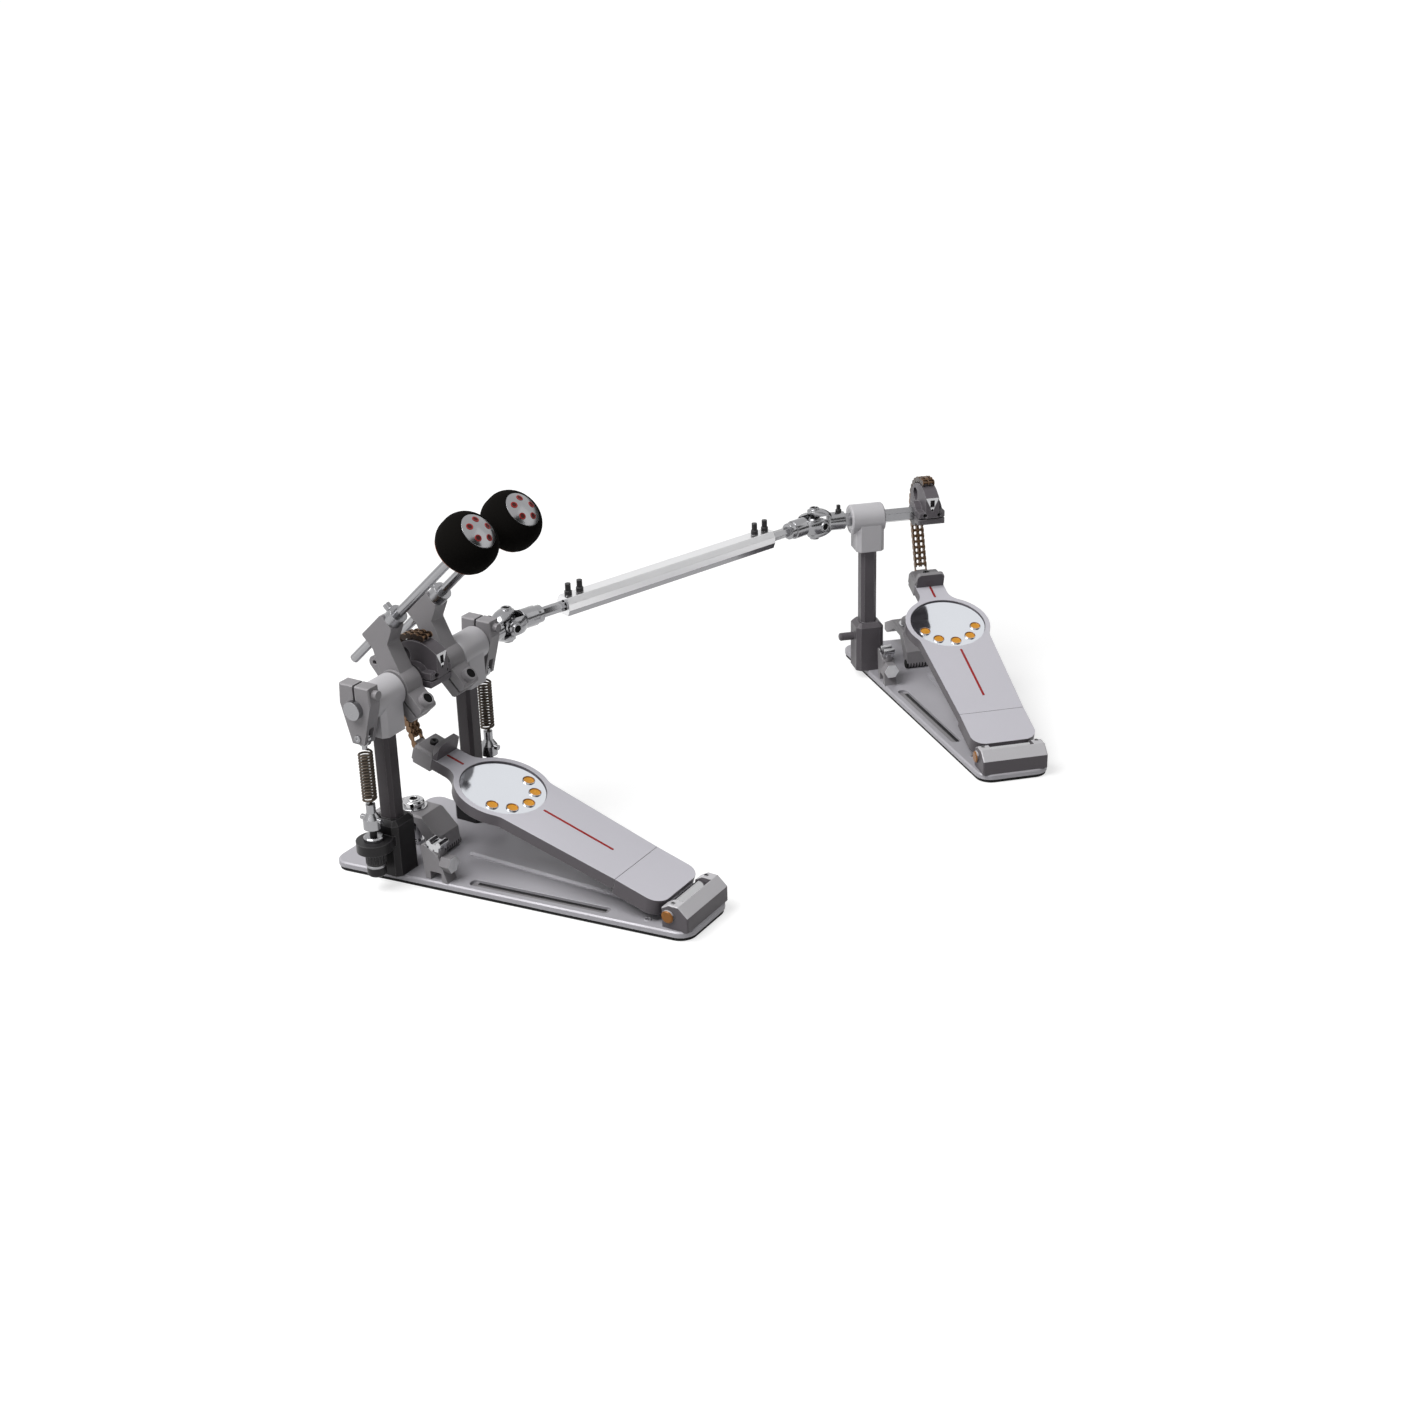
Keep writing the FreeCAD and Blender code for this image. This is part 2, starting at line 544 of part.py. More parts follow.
def traction(pedal, place):
    """Mirror disc sunk in the board, and its ring of studs."""
    low = S.board_top - S.recess_deep
    name = f"{pedal}_traction_disc"
    disc = rod(f"{name}_blank", S.disc_radius, (0, S.disc_at, low), S.disc_thick)
    holes, studs = [], []
    for index, (across, along) in enumerate(stud_places()):
        holes.append(rod(f"{name}_hole_{index}", S.stud_radius, (across, along, low),
                         S.disc_thick + S.overrun))
        stud = rod(f"{pedal}_stud_{index}", S.stud_radius, (across, along, low), S.stud_high)
        studs.append(bevel(f"{pedal}_stud_edge_{index}", stud, S.stud_bevel, level_at(low + S.stud_high)))
    on_board(name, cut(name, disc, *holes), place)
    name = f"{pedal}_traction_studs"
    on_board(name, group(name, *studs), place)


def post(name, centre, ear=0):
    """Bevelled square post in a wider socket, with an ear for the tension screw on one side."""
    upper = prism(f"{name}_upper", octagon(centre, S.post_half, S.post_bevel), PLATE_TOP, POST_TOP)
    socket = prism(f"{name}_socket", octagon(centre, S.socket_half, S.socket_bevel), PLATE_TOP,
                   S.socket_top)
    socket = bevel(f"{name}_socket_edge", socket, S.socket_bevel, level_at(S.socket_top))
    if not ear:
        screw = rod(f"{name}_screw", S.post_screw_radius,
                    (centre - S.socket_half - S.post_screw_long, 0, S.post_screw_height),
                    S.post_screw_long + S.post_bevel, "x")
        screw = bevel(f"{name}_screw_edge", screw, S.plate_bevel, lambda a, b, m: m.x < float(
            centre - S.socket_half - S.post_screw_long) + NEAR)
        return fuse(name, upper, socket, screw)
    low = S.ear_top - S.ear_thick
    disc = rod(f"{name}_ear", S.ear_radius, (S.spring_out * ear, 0, low), S.ear_thick)
    near, far = sorted((centre, S.spring_out * ear), key=float)
    web = box(f"{name}_web", (near, -S.ear_web_half, low), (far, S.ear_web_half, S.ear_top))
    hole = rod(f"{name}_hole", S.tension_rod + S.running_gap, (S.spring_out * ear, 0, low - S.overrun),
               S.ear_thick + S.overrun * 2)
    return cut(name, fuse(f"{name}_body", upper, socket, disc, web), hole)


def housing_ends(centre, out):
    """The low and high ends of a housing whose outer side faces out."""
    ends = (centre + S.housing_outer * out, centre - S.housing_inner * out)
    return sorted(ends, key=float)


def bearing_housing(name, centre, out):
    """Tee casting: a sleeve over the post's head, and a cross tube bored for two bearings."""
    low, high = housing_ends(centre, out)
    long = high - low
    sleeve = prism(f"{name}_sleeve", octagon(centre, S.sleeve_half, S.sleeve_bevel), SLEEVE_BOTTOM,
                   S.axle_height)
    tube = rod(f"{name}_tube", S.housing_radius, (low, 0, S.axle_height), long, "x")
    tube = bevel(f"{name}_tube_edge", tube, S.plate_bevel,
                 lambda a, b, m: min(abs(m.x - float(low)), abs(m.x - float(high))) < NEAR)
    socket = prism(f"{name}_socket", octagon(centre, S.post_half, S.post_bevel),
                   SLEEVE_BOTTOM - S.overrun, POST_TOP)
    bore = rod(f"{name}_bore", S.housing_bore, (low - S.overrun, 0, S.axle_height),
               long + S.overrun * 2, "x")
    seats = [rod(f"{name}_seat_{index}", S.bearing_radius, (foot, 0, S.axle_height),
                 S.bearing_wide + S.overrun, "x")
             for index, foot in enumerate((low - S.overrun, high - S.bearing_wide))]
    return cut(name, fuse(f"{name}_body", sleeve, tube), socket, bore, *seats)


def bearings(name, centre, out):
    """Two bearing rings in a housing's ends."""
    low, high = housing_ends(centre, out)
    rings = []
    for index, foot in enumerate((low, high - S.bearing_wide)):
        outer = rod(f"{name}_outer_{index}", S.bearing_radius, (foot, 0, S.axle_height),
                    S.bearing_wide, "x")
        hole = rod(f"{name}_hole_{index}", S.journal_axle_radius + S.running_gap,
                   (foot - S.overrun, 0, S.axle_height), S.bearing_wide + S.overrun * 2, "x")
        rings.append(cut(f"{name}_ring_{index}", outer, hole))
    return rings


def stepped_axle(name, outer, journal, inner):
    """Hexagonal axle with a round journal: each stretch is a pair of places along it."""
    parts = []
    for index, (low, high) in enumerate((outer, inner)):
        parts.append(hexagon(f"{name}_hex_{index}", S.axle_flats, (low, 0, S.axle_height),
                             high - low))
    low, high = journal
    parts.append(rod(f"{name}_journal", S.journal_axle_radius, (low, 0, S.axle_height),
                     high - low, "x"))
    return parts


def axle_hole(name, low, high):
    """The hexagonal hole that seats a piece on an axle."""
    return hexagon(name, S.axle_flats, (low - S.overrun, 0, S.axle_height), high - low + S.overrun * 2)


def rocker(name, out):
    """Split clamp on the axle's end that narrows to a fork with a pin for the spring's hook."""
    centre = S.spring_out * out
    low, high = centre - S.rocker_half, centre + S.rocker_half
    axle, pin = S.axle_height, S.axle_height - S.rocker_pin_drop
    tip = pin - S.rocker_tip_below
    arm = prism(f"{name}_arm", mirrored([
        (S.rocker_wide, axle + S.rocker_top), (S.rocker_waist, axle + S.rocker_waist_rise),
        (S.rocker_tip, tip)]), low, high, SIDE)
    arm = bevel(f"{name}_edge", arm, S.holder_bevel,
                lambda a, b, m: abs(a.x - b.x) < NEAR and m.z > float(axle))
    slot = box(f"{name}_slot", (low - S.overrun, -S.rocker_slot, axle),
               (high + S.overrun, S.rocker_slot, axle + S.rocker_top + S.overrun))
    fork = box(f"{name}_fork", (centre - S.fork_gap_half, -S.rocker_waist, tip - S.overrun),
               (centre + S.fork_gap_half, S.rocker_waist, pin + S.fork_deep))
    pin_bar = rod(f"{name}_pin", S.pin_radius, (low, 0, pin), S.rocker_half * 2, "x")
    body = cut(f"{name}_body", arm, slot, fork, axle_hole(f"{name}_axle", low, high))
    height, back = axle + S.rocker_screw_rise, -S.rocker_screw_back
    stem = rod(f"{name}_screw", S.rocker_screw, (centre, back, height),
               S.rocker_screw_back + S.rocker_screw_front, "y")
    head = rod(f"{name}_screw_head", S.rocker_screw_head, (centre, back, height),
               S.rocker_screw_head_long, "y")
    return node(name, fuse(name, body, pin_bar, stem, head))


def spring_hook(name, out):
    """Eye that hangs on the rocker's pin, with a shank that takes the spring's end."""
    centre = S.spring_out * out
    eye = S.axle_height - S.rocker_pin_drop - S.hook_hang
    ring = rod(f"{name}_ring", S.hook_ring, (centre - S.hook_half, 0, eye), S.hook_half * 2, "x")
    shank = rod(f"{name}_shank", S.hook_shank, (centre, 0, HOOK_BOTTOM),
                eye - S.hook_ring - HOOK_BOTTOM + S.hook_half)
    hole = rod(f"{name}_eye", S.hook_eye, (centre - S.hook_shank - S.overrun, 0, eye),
               (S.hook_shank + S.overrun) * 2, "x")
    return node(name, cut(name, fuse(f"{name}_body", ring, shank), hole))


def biarc(start, start_way, end, end_way):
    """Two arcs that leave start and reach end along the given directions."""
    chord, ways = end - start, start_way + end_way
    spread = 2 * (1 - start_way.dot(end_way))
    lead = (-chord.dot(ways) + math.sqrt(chord.dot(ways) ** 2 + spread * chord.dot(chord))) / spread
    joint = (start + end + (start_way - end_way) * lead) * 0.5
    arcs = []
    halves = ((start, start + start_way * lead, joint), (joint, end - end_way * lead, end))
    for first, corner, last in halves:
        middle = (first + last) * 0.5
        half_turn = math.atan2((corner - middle).Length, (last - first).Length / 2)
        crown = middle + (corner - middle) * (math.tan(half_turn / 2) / math.tan(half_turn))
        arcs.append(Part.Arc(first, crown, last).toShape())
    return arcs


def least_gap(points, thick, along):
    """The least gap between stretches of a wire that lie at least a distance apart along it."""
    step = (points[1] - points[0]).Length
    skip = int(along / step) + 1
    return min((a - b).Length for i, a in enumerate(points) for b in points[i + skip:]) - thick


def spring(name, out):
    """Close coil of wire with a straight tail on its axis at each end."""
    wire, radius, lead = float(S.wire), float(S.coil_radius), float(S.coil_lead)
    foot, head = float(S.nut_top), float(HOOK_BOTTOM)
    low, high = foot + wire + lead, head - wire - lead
    turns = int((high - low) / float(S.coil_pitch))
    rise = (high - low) / turns
    slope = math.atan2(rise, 2 * math.pi * radius)
    centre = Vector(float(S.spring_out) * out, 0, 0)

    def coil(quarter):
        turn = math.pi / 2 * quarter
        height = low + rise * quarter / 4
        place = centre + Vector(radius * math.cos(turn), radius * math.sin(turn), height)
        flat = Vector(-math.sin(turn), math.cos(turn), 0) * math.cos(slope)
        return place, flat + Vector(0, 0, math.sin(slope))

    up = Vector(0, 0, 1)
    stops = [(centre + up * (foot + wire), up)]
    stops += [coil(quarter) for quarter in range(turns * 4 + 1)]
    stops.append((centre + up * (head - wire), up))
    edges = [Part.LineSegment(centre + up * foot, stops[0][0]).toShape()]
    for (start, start_way), (end, end_way) in zip(stops, stops[1:]):
        edges += biarc(start, start_way, end, end_way)
    edges.append(Part.LineSegment(stops[-1][0], centre + up * head).toShape())
    path = Part.Wire(edges)
    section = Part.Wire(Part.Circle(centre + up * foot, up, wire / 2).toShape())
    solid = path.makePipeShell([section], True, False)
    points = path.discretize(Distance=wire / 2)
    print(name, "least gap", round(least_gap(points, wire, wire * math.pi), 2), "mm, volume share",
          round(solid.Volume / (path.Length * math.pi * wire ** 2 / 4), 4))
    coil_of_wire = new("Part::Feature", name)
    coil_of_wire.Shape = solid
    return node(name, coil_of_wire)


def spring_nut(name, out):
    """Swivel nut on the tension screw, with a cross bar, that holds the spring's foot."""
    centre = S.spring_out * out
    taper_low = S.nut_shoulder - S.nut_taper
    body = rod(f"{name}_body", S.nut_body, (centre, 0, S.nut_body_low), taper_low - S.nut_body_low)
    taper = cone(f"{name}_taper", S.nut_body, S.nut_neck, (centre, 0, taper_low), S.nut_taper)
    neck = rod(f"{name}_neck", S.nut_neck, (centre, 0, S.nut_shoulder), S.nut_top - S.nut_shoulder)
    bar = rod(f"{name}_bar", S.nut_ear, (centre, -S.nut_ear_out, S.nut_ear_height),
              S.nut_ear_out * 2, "y")
    lock = rod(f"{name}_lock", S.lock_nut, (centre, 0, S.ear_top), S.lock_nut_high)
    lock = bevel(f"{name}_lock_edge", lock, S.knob_bevel, level_at(S.ear_top + S.lock_nut_high))
    hole = rod(f"{name}_hole", S.tension_rod + S.running_gap, (centre, 0, S.ear_top - S.overrun),
               S.rod_top + S.rod_room - S.ear_top + S.overrun)
    return cut(name, fuse(f"{name}_solid", body, taper, neck, bar, lock), hole)


def tension_knob(name, out):
    """Knob under the ear, in one piece with the screw that rises through ear and nut."""
    centre = S.spring_out * out
    high = S.ear_top - S.ear_thick - S.knob_gap
    knob = rod(f"{name}_knob", S.knob_radius, (centre, 0, S.knob_low), high - S.knob_low)
    knob = bevel(f"{name}_knob_edge", knob, S.knob_bevel, level_at(S.knob_low))
    foot = (centre, 0, S.knob_low + S.knob_groove_low)
    band = cut(f"{name}_band",
               rod(f"{name}_band_out", S.knob_radius + S.overrun, foot, S.knob_groove_high),
               rod(f"{name}_band_in", S.knob_radius - S.knob_groove, foot, S.knob_groove_high))
    screw = rod(f"{name}_screw", S.tension_rod, (centre, 0, high - S.overrun),
                S.rod_top - high + S.overrun)
    return node(name, fuse(name, cut(f"{name}_grip", knob, band), screw))


def in_holder(name, feature, out):
    """Set a piece of a beater on its side of the main pedal, leaned back."""
    shift = Placement(Vector(float(S.beater_out) * out, 0, 0), Rotation())
    return node(name, feature, shift, HOLDER)


def beater_holder(name, out):
    """Cast arm: a split clamp on the axle, and a block that grips the beater's shaft."""
    half, arm_half = S.holder_half, S.arm_half
    arm = prism(f"{name}_arm", [
        (S.block_outer, S.block_low), (S.block_outer, S.block_high), (S.block_inner, S.block_high),
        (S.arm_notch, S.arm_notch_high), (0, S.arm_root_high), (0, -S.arm_root_low),
        (S.arm_step, 0), (S.block_inner, S.block_low)], -arm_half, arm_half)
    arm = bevel(f"{name}_arm_edge", arm, S.holder_bevel,
                lambda a, b, m: upright(a, b, m) and m.x > float(S.arm_step))
    hub = rod(f"{name}_hub", S.hub_radius, (0, 0, -half), half * 2)
    lug = box(f"{name}_lug", (-S.lug_long, -S.lug_half, -half), (0 * half, S.lug_half, half))
    lug = bevel(f"{name}_lug_edge", lug, S.toe_bevel,
                lambda a, b, m: upright(a, b, m) and m.x < -float(S.hub_radius))
    ear_at, ear_half = (S.holder_ear_at, -S.holder_ear_drop), S.holder_ear_half
    ear = rod(f"{name}_ear", S.holder_ear, (*ear_at, -ear_half), ear_half * 2)
    web = prism(f"{name}_ear_web", [
        (0, -S.arm_root_low), (ear_at[0], ear_at[1] - S.holder_ear),
        (ear_at[0], ear_at[1] + S.holder_ear), (S.arm_step, 0)], -ear_half, ear_half)
    ear_hole = rod(f"{name}_ear_hole", S.holder_ear_hole, (*ear_at, -ear_half - S.overrun),
                   (ear_half + S.overrun) * 2)
    slot = box(f"{name}_slot", (-S.lug_long - S.overrun, -S.holder_slot, -half - S.overrun),
               (0 * half, S.holder_slot, half + S.overrun))
    hole = new("Part::Prism", f"{name}_axle")
    hole.Polygon = HEX_SIDES
    bind(hole, "Circumradius", S.axle_flats * HEX_CORNER_SHARE)
    bind(hole, "Height", (half + S.overrun) * 2)
    hole.Placement = Placement(Vector(), Rotation(Vector(0, 0, 1), QUARTER - float(S.beater_lean_angle)))
    at(hole, (0, 0, -half - S.overrun))
    grip = rod(f"{name}_grip", S.shaft_radius, (S.beater_arm, S.block_low - S.overrun, 0),
               S.block_high - S.block_low + S.overrun * 2, "y")
    screw = rod(f"{name}_screw_hole", S.lug_screw, (-S.lug_screw_at, -S.lug_half - S.overrun, 0),
                S.lug_half * 2 + S.overrun * 2, "y")
    body = fuse(f"{name}_body", arm, hub, lug, ear, web)
    return in_holder(name, cut(name, body, slot, hole, grip, screw, ear_hole), out)


def beater_shaft(name, out):
    """Bright shaft through the holder and the head, ending in a domed cap."""
    end = S.head_centre + S.head_long / 2
    bar = rod(f"{name}_bar", S.shaft_radius, (S.beater_arm, -S.shaft_below, 0),
              S.shaft_below + end - S.cap_sink, "y")
    bar = bevel(f"{name}_foot", bar, S.plate_bevel, lambda a, b, m: m.y < 0)
    crown = end - S.cap_sink + S.cap_dome * DOME_RISE
    dome = common(f"{name}_cap",
                  ball(f"{name}_dome", S.cap_dome, (S.beater_arm, crown - S.cap_dome, 0)),
                  rod(f"{name}_cap_edge", S.cap_cover, (S.beater_arm, end - S.cap_sink, 0),
                      S.cap_dome, "y"))
    return in_holder(name, fuse(name, bar, dome), out)


# Rise of the cap's dome over its rim, as a share of the dome's radius
DOME_RISE = 1 - math.sqrt(1 - (float(S.cap_cover) / float(S.cap_dome)) ** 2)


def beater_head(name, out):
    """Rounded drum of felt about the shaft, with a seat for the cap."""
    low = S.head_centre - S.head_long / 2
    head = rod(f"{name}_blank", S.head_radius, (S.beater_arm, low, 0), S.head_long, "y")
    for end, radius, edge in (("tip", S.head_tip_round, low + S.head_long),
                              ("shaft", S.head_shaft_round, low)):
        head = soften(f"{name}_{end}", head, radius,
                      lambda a, b, m, edge=edge: abs(a.y - float(edge)) + abs(m.y - float(edge)) < NEAR)
    bore = rod(f"{name}_bore", S.shaft_radius, (S.beater_arm, low - S.overrun, 0),
               S.head_long + S.overrun * 2, "y")
    seat = rod(f"{name}_seat", S.cap_cover, (S.beater_arm, low + S.head_long - S.cap_sink, 0),
               S.cap_sink + S.overrun, "y")
    return in_holder(name, cut(name, head, bore, seat), out)


def fittings(name, out):
    """Screws of one beater: shaft collar with its key, lug screw, and the rocker's cap screw."""
    collar = rod(f"{name}_collar", S.collar_radius, (S.beater_arm, S.block_high, 0), S.collar_long, "y")
    bore = rod(f"{name}_collar_bore", S.shaft_radius, (S.beater_arm, S.block_high - S.overrun, 0),
               S.collar_long + S.overrun * 2, "y")
    key = rod(f"{name}_key", S.key_radius, (S.beater_arm + S.collar_radius - S.plate_bevel,
                                            S.block_high + S.collar_long / 2, 0), S.key_long, "x")
    collar = cut(f"{name}_ring", fuse(f"{name}_ring_body", collar, key), bore)
    screw = rod(f"{name}_lug_screw", S.lug_screw, (-S.lug_screw_at, -S.lug_half, 0),
                S.lug_half * 2 + S.lug_screw_head, "y")
    set_here = group(f"{name}_on_holder", collar, screw)
    shift = Placement(Vector(float(S.beater_out) * out, 0, 0), Rotation())
    set_here.Placement = shift * HOLDER
    if out > 0:
        return node(name, set_here)
    end = -S.spring_out - S.rocker_half
    cap = rod(f"{name}_axle_cap", S.collar_radius, (end - S.lug_screw_head, 0, S.axle_height),
              S.lug_screw_head, "x")
    return node(name, group(name, set_here, cap))


def on_cam(angle):
    """The chain's place round the cam at an angle from the drum side, upwards."""
    radius = float(S.chain_radius)
    return Vector(0, radius * math.cos(angle), float(S.axle_height) + radius * math.sin(angle))


def chain_path(hinge, leave, pull):
    """Joints of the run from its hinge on the cam, round to where it leaves, and straight to the pull.

    The links come to an odd number, so that the first and the last are outer ones, and the last is
    the longer one that takes the board's tongue.
    """
    pitch = float(S.chain_pitch)
    step = chain_step()
    wound = int((hinge - leave) / step)
    joints = [on_cam(hinge - step * index) for index in range(wound + 1)]
    run = pull - joints[-1]
    run *= 1 - float(S.pull_link) / run.Length
    share = run.Length / pitch
    counts = [count for count in (math.floor(share), math.ceil(share)) if (wound + count) % 2 == 0]
    count = counts[0] if counts else math.ceil(share) + 1
    return joints + [joints[-1] + run * (index / count) for index in range(1, count + 1)] + [pull]


def chain_step():
    """The angle of one link round the cam."""
    return 2 * math.asin(float(S.chain_pitch) / 2 / float(S.chain_radius))


def link_plate(start, end, middle, thick):
    """One waisted plate between two joints."""
    way = (end - start).normalize()
    radius = float(S.chain_plate_high) / 2
    across = Vector(1, 0, 0).cross(way)
    upper = [start + way * (radius * along) + across * (radius * side) for along, side in LINK_END_SHARES]
    upper.append((start + end) * 0.5 + across * (radius * LINK_WAIST_SHARE))
    upper += [end - way * (radius * along) + across * (radius * side)
              for along, side in reversed(LINK_END_SHARES)]
    lower = [point - across * (2 * across.dot(point - start)) for point in reversed(upper)]
    ring = [point + Vector(middle - thick / 2, 0, 0) for point in upper + lower]
    return Part.Face(Part.makePolygon(ring + ring[:1])).extrude(Vector(thick, 0, 0))


def joint_bar(centre, radius, half):
    """A six-sided roller or pin across the chain at a joint."""
    turns = [2 * math.pi * index / HEX_SIDES for index in range(HEX_SIDES + 1)]
    ring = [centre + Vector(-half, radius * math.cos(turn), radius * math.sin(turn)) for turn in turns]
    return Part.Face(Part.makePolygon(ring)).extrude(Vector(2 * half, 0, 0))


def chain(name, joints, bare_ends):
    """Links along the joints, outer and inner by turns, joined by rollers and pins.

    Bare ends have only the two outer plates, open for what they straddle.
    """
    plate, half = float(S.chain_plate), float(S.chain_half)
    outer = [half - plate / 2, plate / 2 - half, 0]
    inner = [sign * float(place) for place in (S.chain_inner, S.chain_middle) for sign in (1, -1)]
    solids = []
    for index, (start, end) in enumerate(zip(joints, joints[1:])):
        places = inner if index % 2 else outer
        if bare_ends and index in (0, len(joints) - 2):
            places = outer[:2]
        solids += [link_plate(start, end, place, plate) for place in places]
    for index, joint in enumerate(joints):
        if bare_ends and index in (0, len(joints) - 1):
            continue
        solids.append(joint_bar(joint, float(S.chain_roller), float(S.chain_inner) + plate / 2))
        if 0 < index < len(joints) - 1:
            solids.append(joint_bar(joint, float(S.chain_pin), half))
    links = new("Part::Feature", name)
    links.Shape = solids[0].multiFuse(solids[1:]).removeSplitter()
    return links


def chains(pedal, place):
    """The chain's wound part, fixed to the cam, and its run down to the footboard's tongue."""
    hinge = math.radians(float(S.chain_hinge_angle))
    step = chain_step()
    links = int((math.radians(float(S.chain_anchor_angle)) - hinge) / step)
    links -= links % 2
    wound = [on_cam(hinge + step * (links - index)) for index in range(links + 1)]
    node(f"{pedal}_chain_wrap", chain(f"{pedal}_chain_wrap", wound, False), place)
    pull = BOARD.multVec(Vector(0, float(S.pull_at), float(S.pull_rise)))
    reach = pull - Vector(0, 0, float(S.axle_height))
    leave = math.atan2(reach.z, reach.y) + math.acos(float(S.chain_radius) / reach.Length)
    node(f"{pedal}_chain_run", chain(f"{pedal}_chain_run", chain_path(hinge, leave, pull), True), place)


def cam(pedal, place):
    """Sector wheel under the chain, with a clamp hub and a slotted anchor for the chain's end."""
    name = f"{pedal}_cam"
    axle = S.axle_height
    rim = S.chain_radius - S.chain_plate_high / 2 - S.chain_gap
    half, hub = S.cam_half, S.cam_hub_half
    wheel = new("Part::Cylinder", f"{name}_wheel")
    bind(wheel, "Radius", rim)
    bind(wheel, "Height", half * 2)
    bind(wheel, "Angle", S.cam_sweep_angle)
    turn = Rotation(Vector(1, 0, 0), -float(S.cam_start_angle))
    wheel.Placement = Placement(Vector(), turn * SIDE.Rotation)
    at(wheel, (-half, 0, axle))
    hub_bar = rod(f"{name}_hub", S.cam_hub_radius, (-hub, 0, axle), hub * 2, "x")
    wide = S.clamp_wide_half
    clamp = box(f"{name}_clamp", (-wide, -S.clamp_out, axle - S.clamp_half),
                (wide, 0 * wide, axle + S.clamp_half))
    clamp = bevel(f"{name}_clamp_edge", clamp, S.plate_bevel,
                  lambda a, b, m: m.y < NEAR - float(S.clamp_out))
    slot = box(f"{name}_slot", (-hub - S.overrun, -S.clamp_out - S.overrun, axle - S.clamp_slot),
               (hub + S.overrun, 0 * hub, axle + S.clamp_slot))
    screws = [rod(f"{name}_clamp_screw_{index}", S.clamp_screw,
                  (across, -S.clamp_out - S.overrun, axle + S.clamp_screw_rise),
                  S.clamp_screw_deep + S.overrun, "y")
              for index, across in enumerate((-S.clamp_screw_out, S.clamp_screw_out))]
    angle = math.radians(float(S.cam_window_angle))
    window = rod(f"{name}_window", S.cam_window, (
        -half - S.overrun, S.cam_window_at * math.cos(angle), axle + S.cam_window_at * math.sin(angle)),
        (half + S.overrun) * 2, "x")
    solid = fuse(f"{name}_solid", wheel, hub_bar, clamp, chain_anchor(name, rim))
    return node(name, cut(name, solid, slot, window, *screws, axle_hole(f"{name}_axle", -hub, hub)), place)


def chain_anchor(name, rim):
    """Upright face behind the wheel's rim, with the slot and the hole that hold the chain's last link."""
    axle, half, face = S.axle_height, S.cam_half, -S.anchor_out
    last = math.radians(float(S.cam_sweep_angle) - float(S.cam_start_angle))
    block = prism(f"{name}_anchor", [
        (0 * rim, axle), (rim * math.cos(last), axle + rim * math.sin(last)),
        (face, axle + S.anchor_high), (face, axle)], -half, half, SIDE)
    slot = box(f"{name}_anchor_slot", (-S.anchor_slot, face - S.overrun, axle + S.anchor_slot_low),
               (S.anchor_slot, face + S.anchor_slot_deep, axle + S.anchor_slot_high))
    hole = rod(f"{name}_anchor_hole", S.anchor_hole, (0, face - S.overrun, axle + S.anchor_hole_at),
               S.anchor_slot_deep + S.overrun, "y")
    return cut(f"{name}_anchor_block", block, slot, hole)


def yoke(name, flats, hub_gap):
    """Fork of a universal joint about the origin: arms up and down, hub along -X."""
    reach = S.ball_radius
    arms = fuse(f"{name}_arms",
                box(f"{name}_cheeks", (-S.yoke_neck, -S.arm_wide_half, -reach),
                    (0 * reach, S.arm_wide_half, reach)),
                rod(f"{name}_ears", S.arm_wide_half, (0, 0, -reach), reach * 2))
    globe = fuse(f"{name}_globe", ball(f"{name}_ball", reach, (0, 0, 0)),
                 rod(f"{name}_stem", reach, (-S.yoke_neck, 0, 0), S.yoke_neck, "x"))
    slot = box(f"{name}_slot", (-S.yoke_slot_deep, -reach, -S.yoke_slot_half),
               (reach, reach, S.yoke_slot_half))
    hub = rod(f"{name}_hub", S.yoke_hub, (-S.yoke_neck - S.yoke_hub_long, 0, 0), S.yoke_hub_long, "x")
    hub = bevel(f"{name}_hub_edge", hub, S.plate_bevel, lambda a, b, m: (a - b).Length < NEAR)
    fork = cut(f"{name}_fork", common(f"{name}_arms_round", arms, globe), slot)
    bore = rod(f"{name}_bore", S.trunnion + hub_gap, (0, 0, -reach), reach * 2)
    if flats is None:
        return cut(f"{name}_yoke", fuse(f"{name}_solid", fork, hub), bore)
    hole = hexagon(f"{name}_axle", flats, (-S.yoke_neck - S.yoke_hub_long - S.overrun, 0, 0),
                   S.yoke_hub_long + S.overrun)
    return cut(f"{name}_yoke", fuse(f"{name}_solid", fork, hub), bore, hole)


def cross(name, place):
    """Cross of a universal joint: a ball with four trunnions."""
    core = ball(f"{name}_core", S.cross_radius, (0, 0, 0))
    bars = [rod(f"{name}_{axis}", S.trunnion,
                tuple(-S.trunnion_long if way == axis else 0 for way in "xyz"),
                S.trunnion_long * 2, axis) for axis in "yz"]
    return node(name, fuse(name, core, *bars), place)


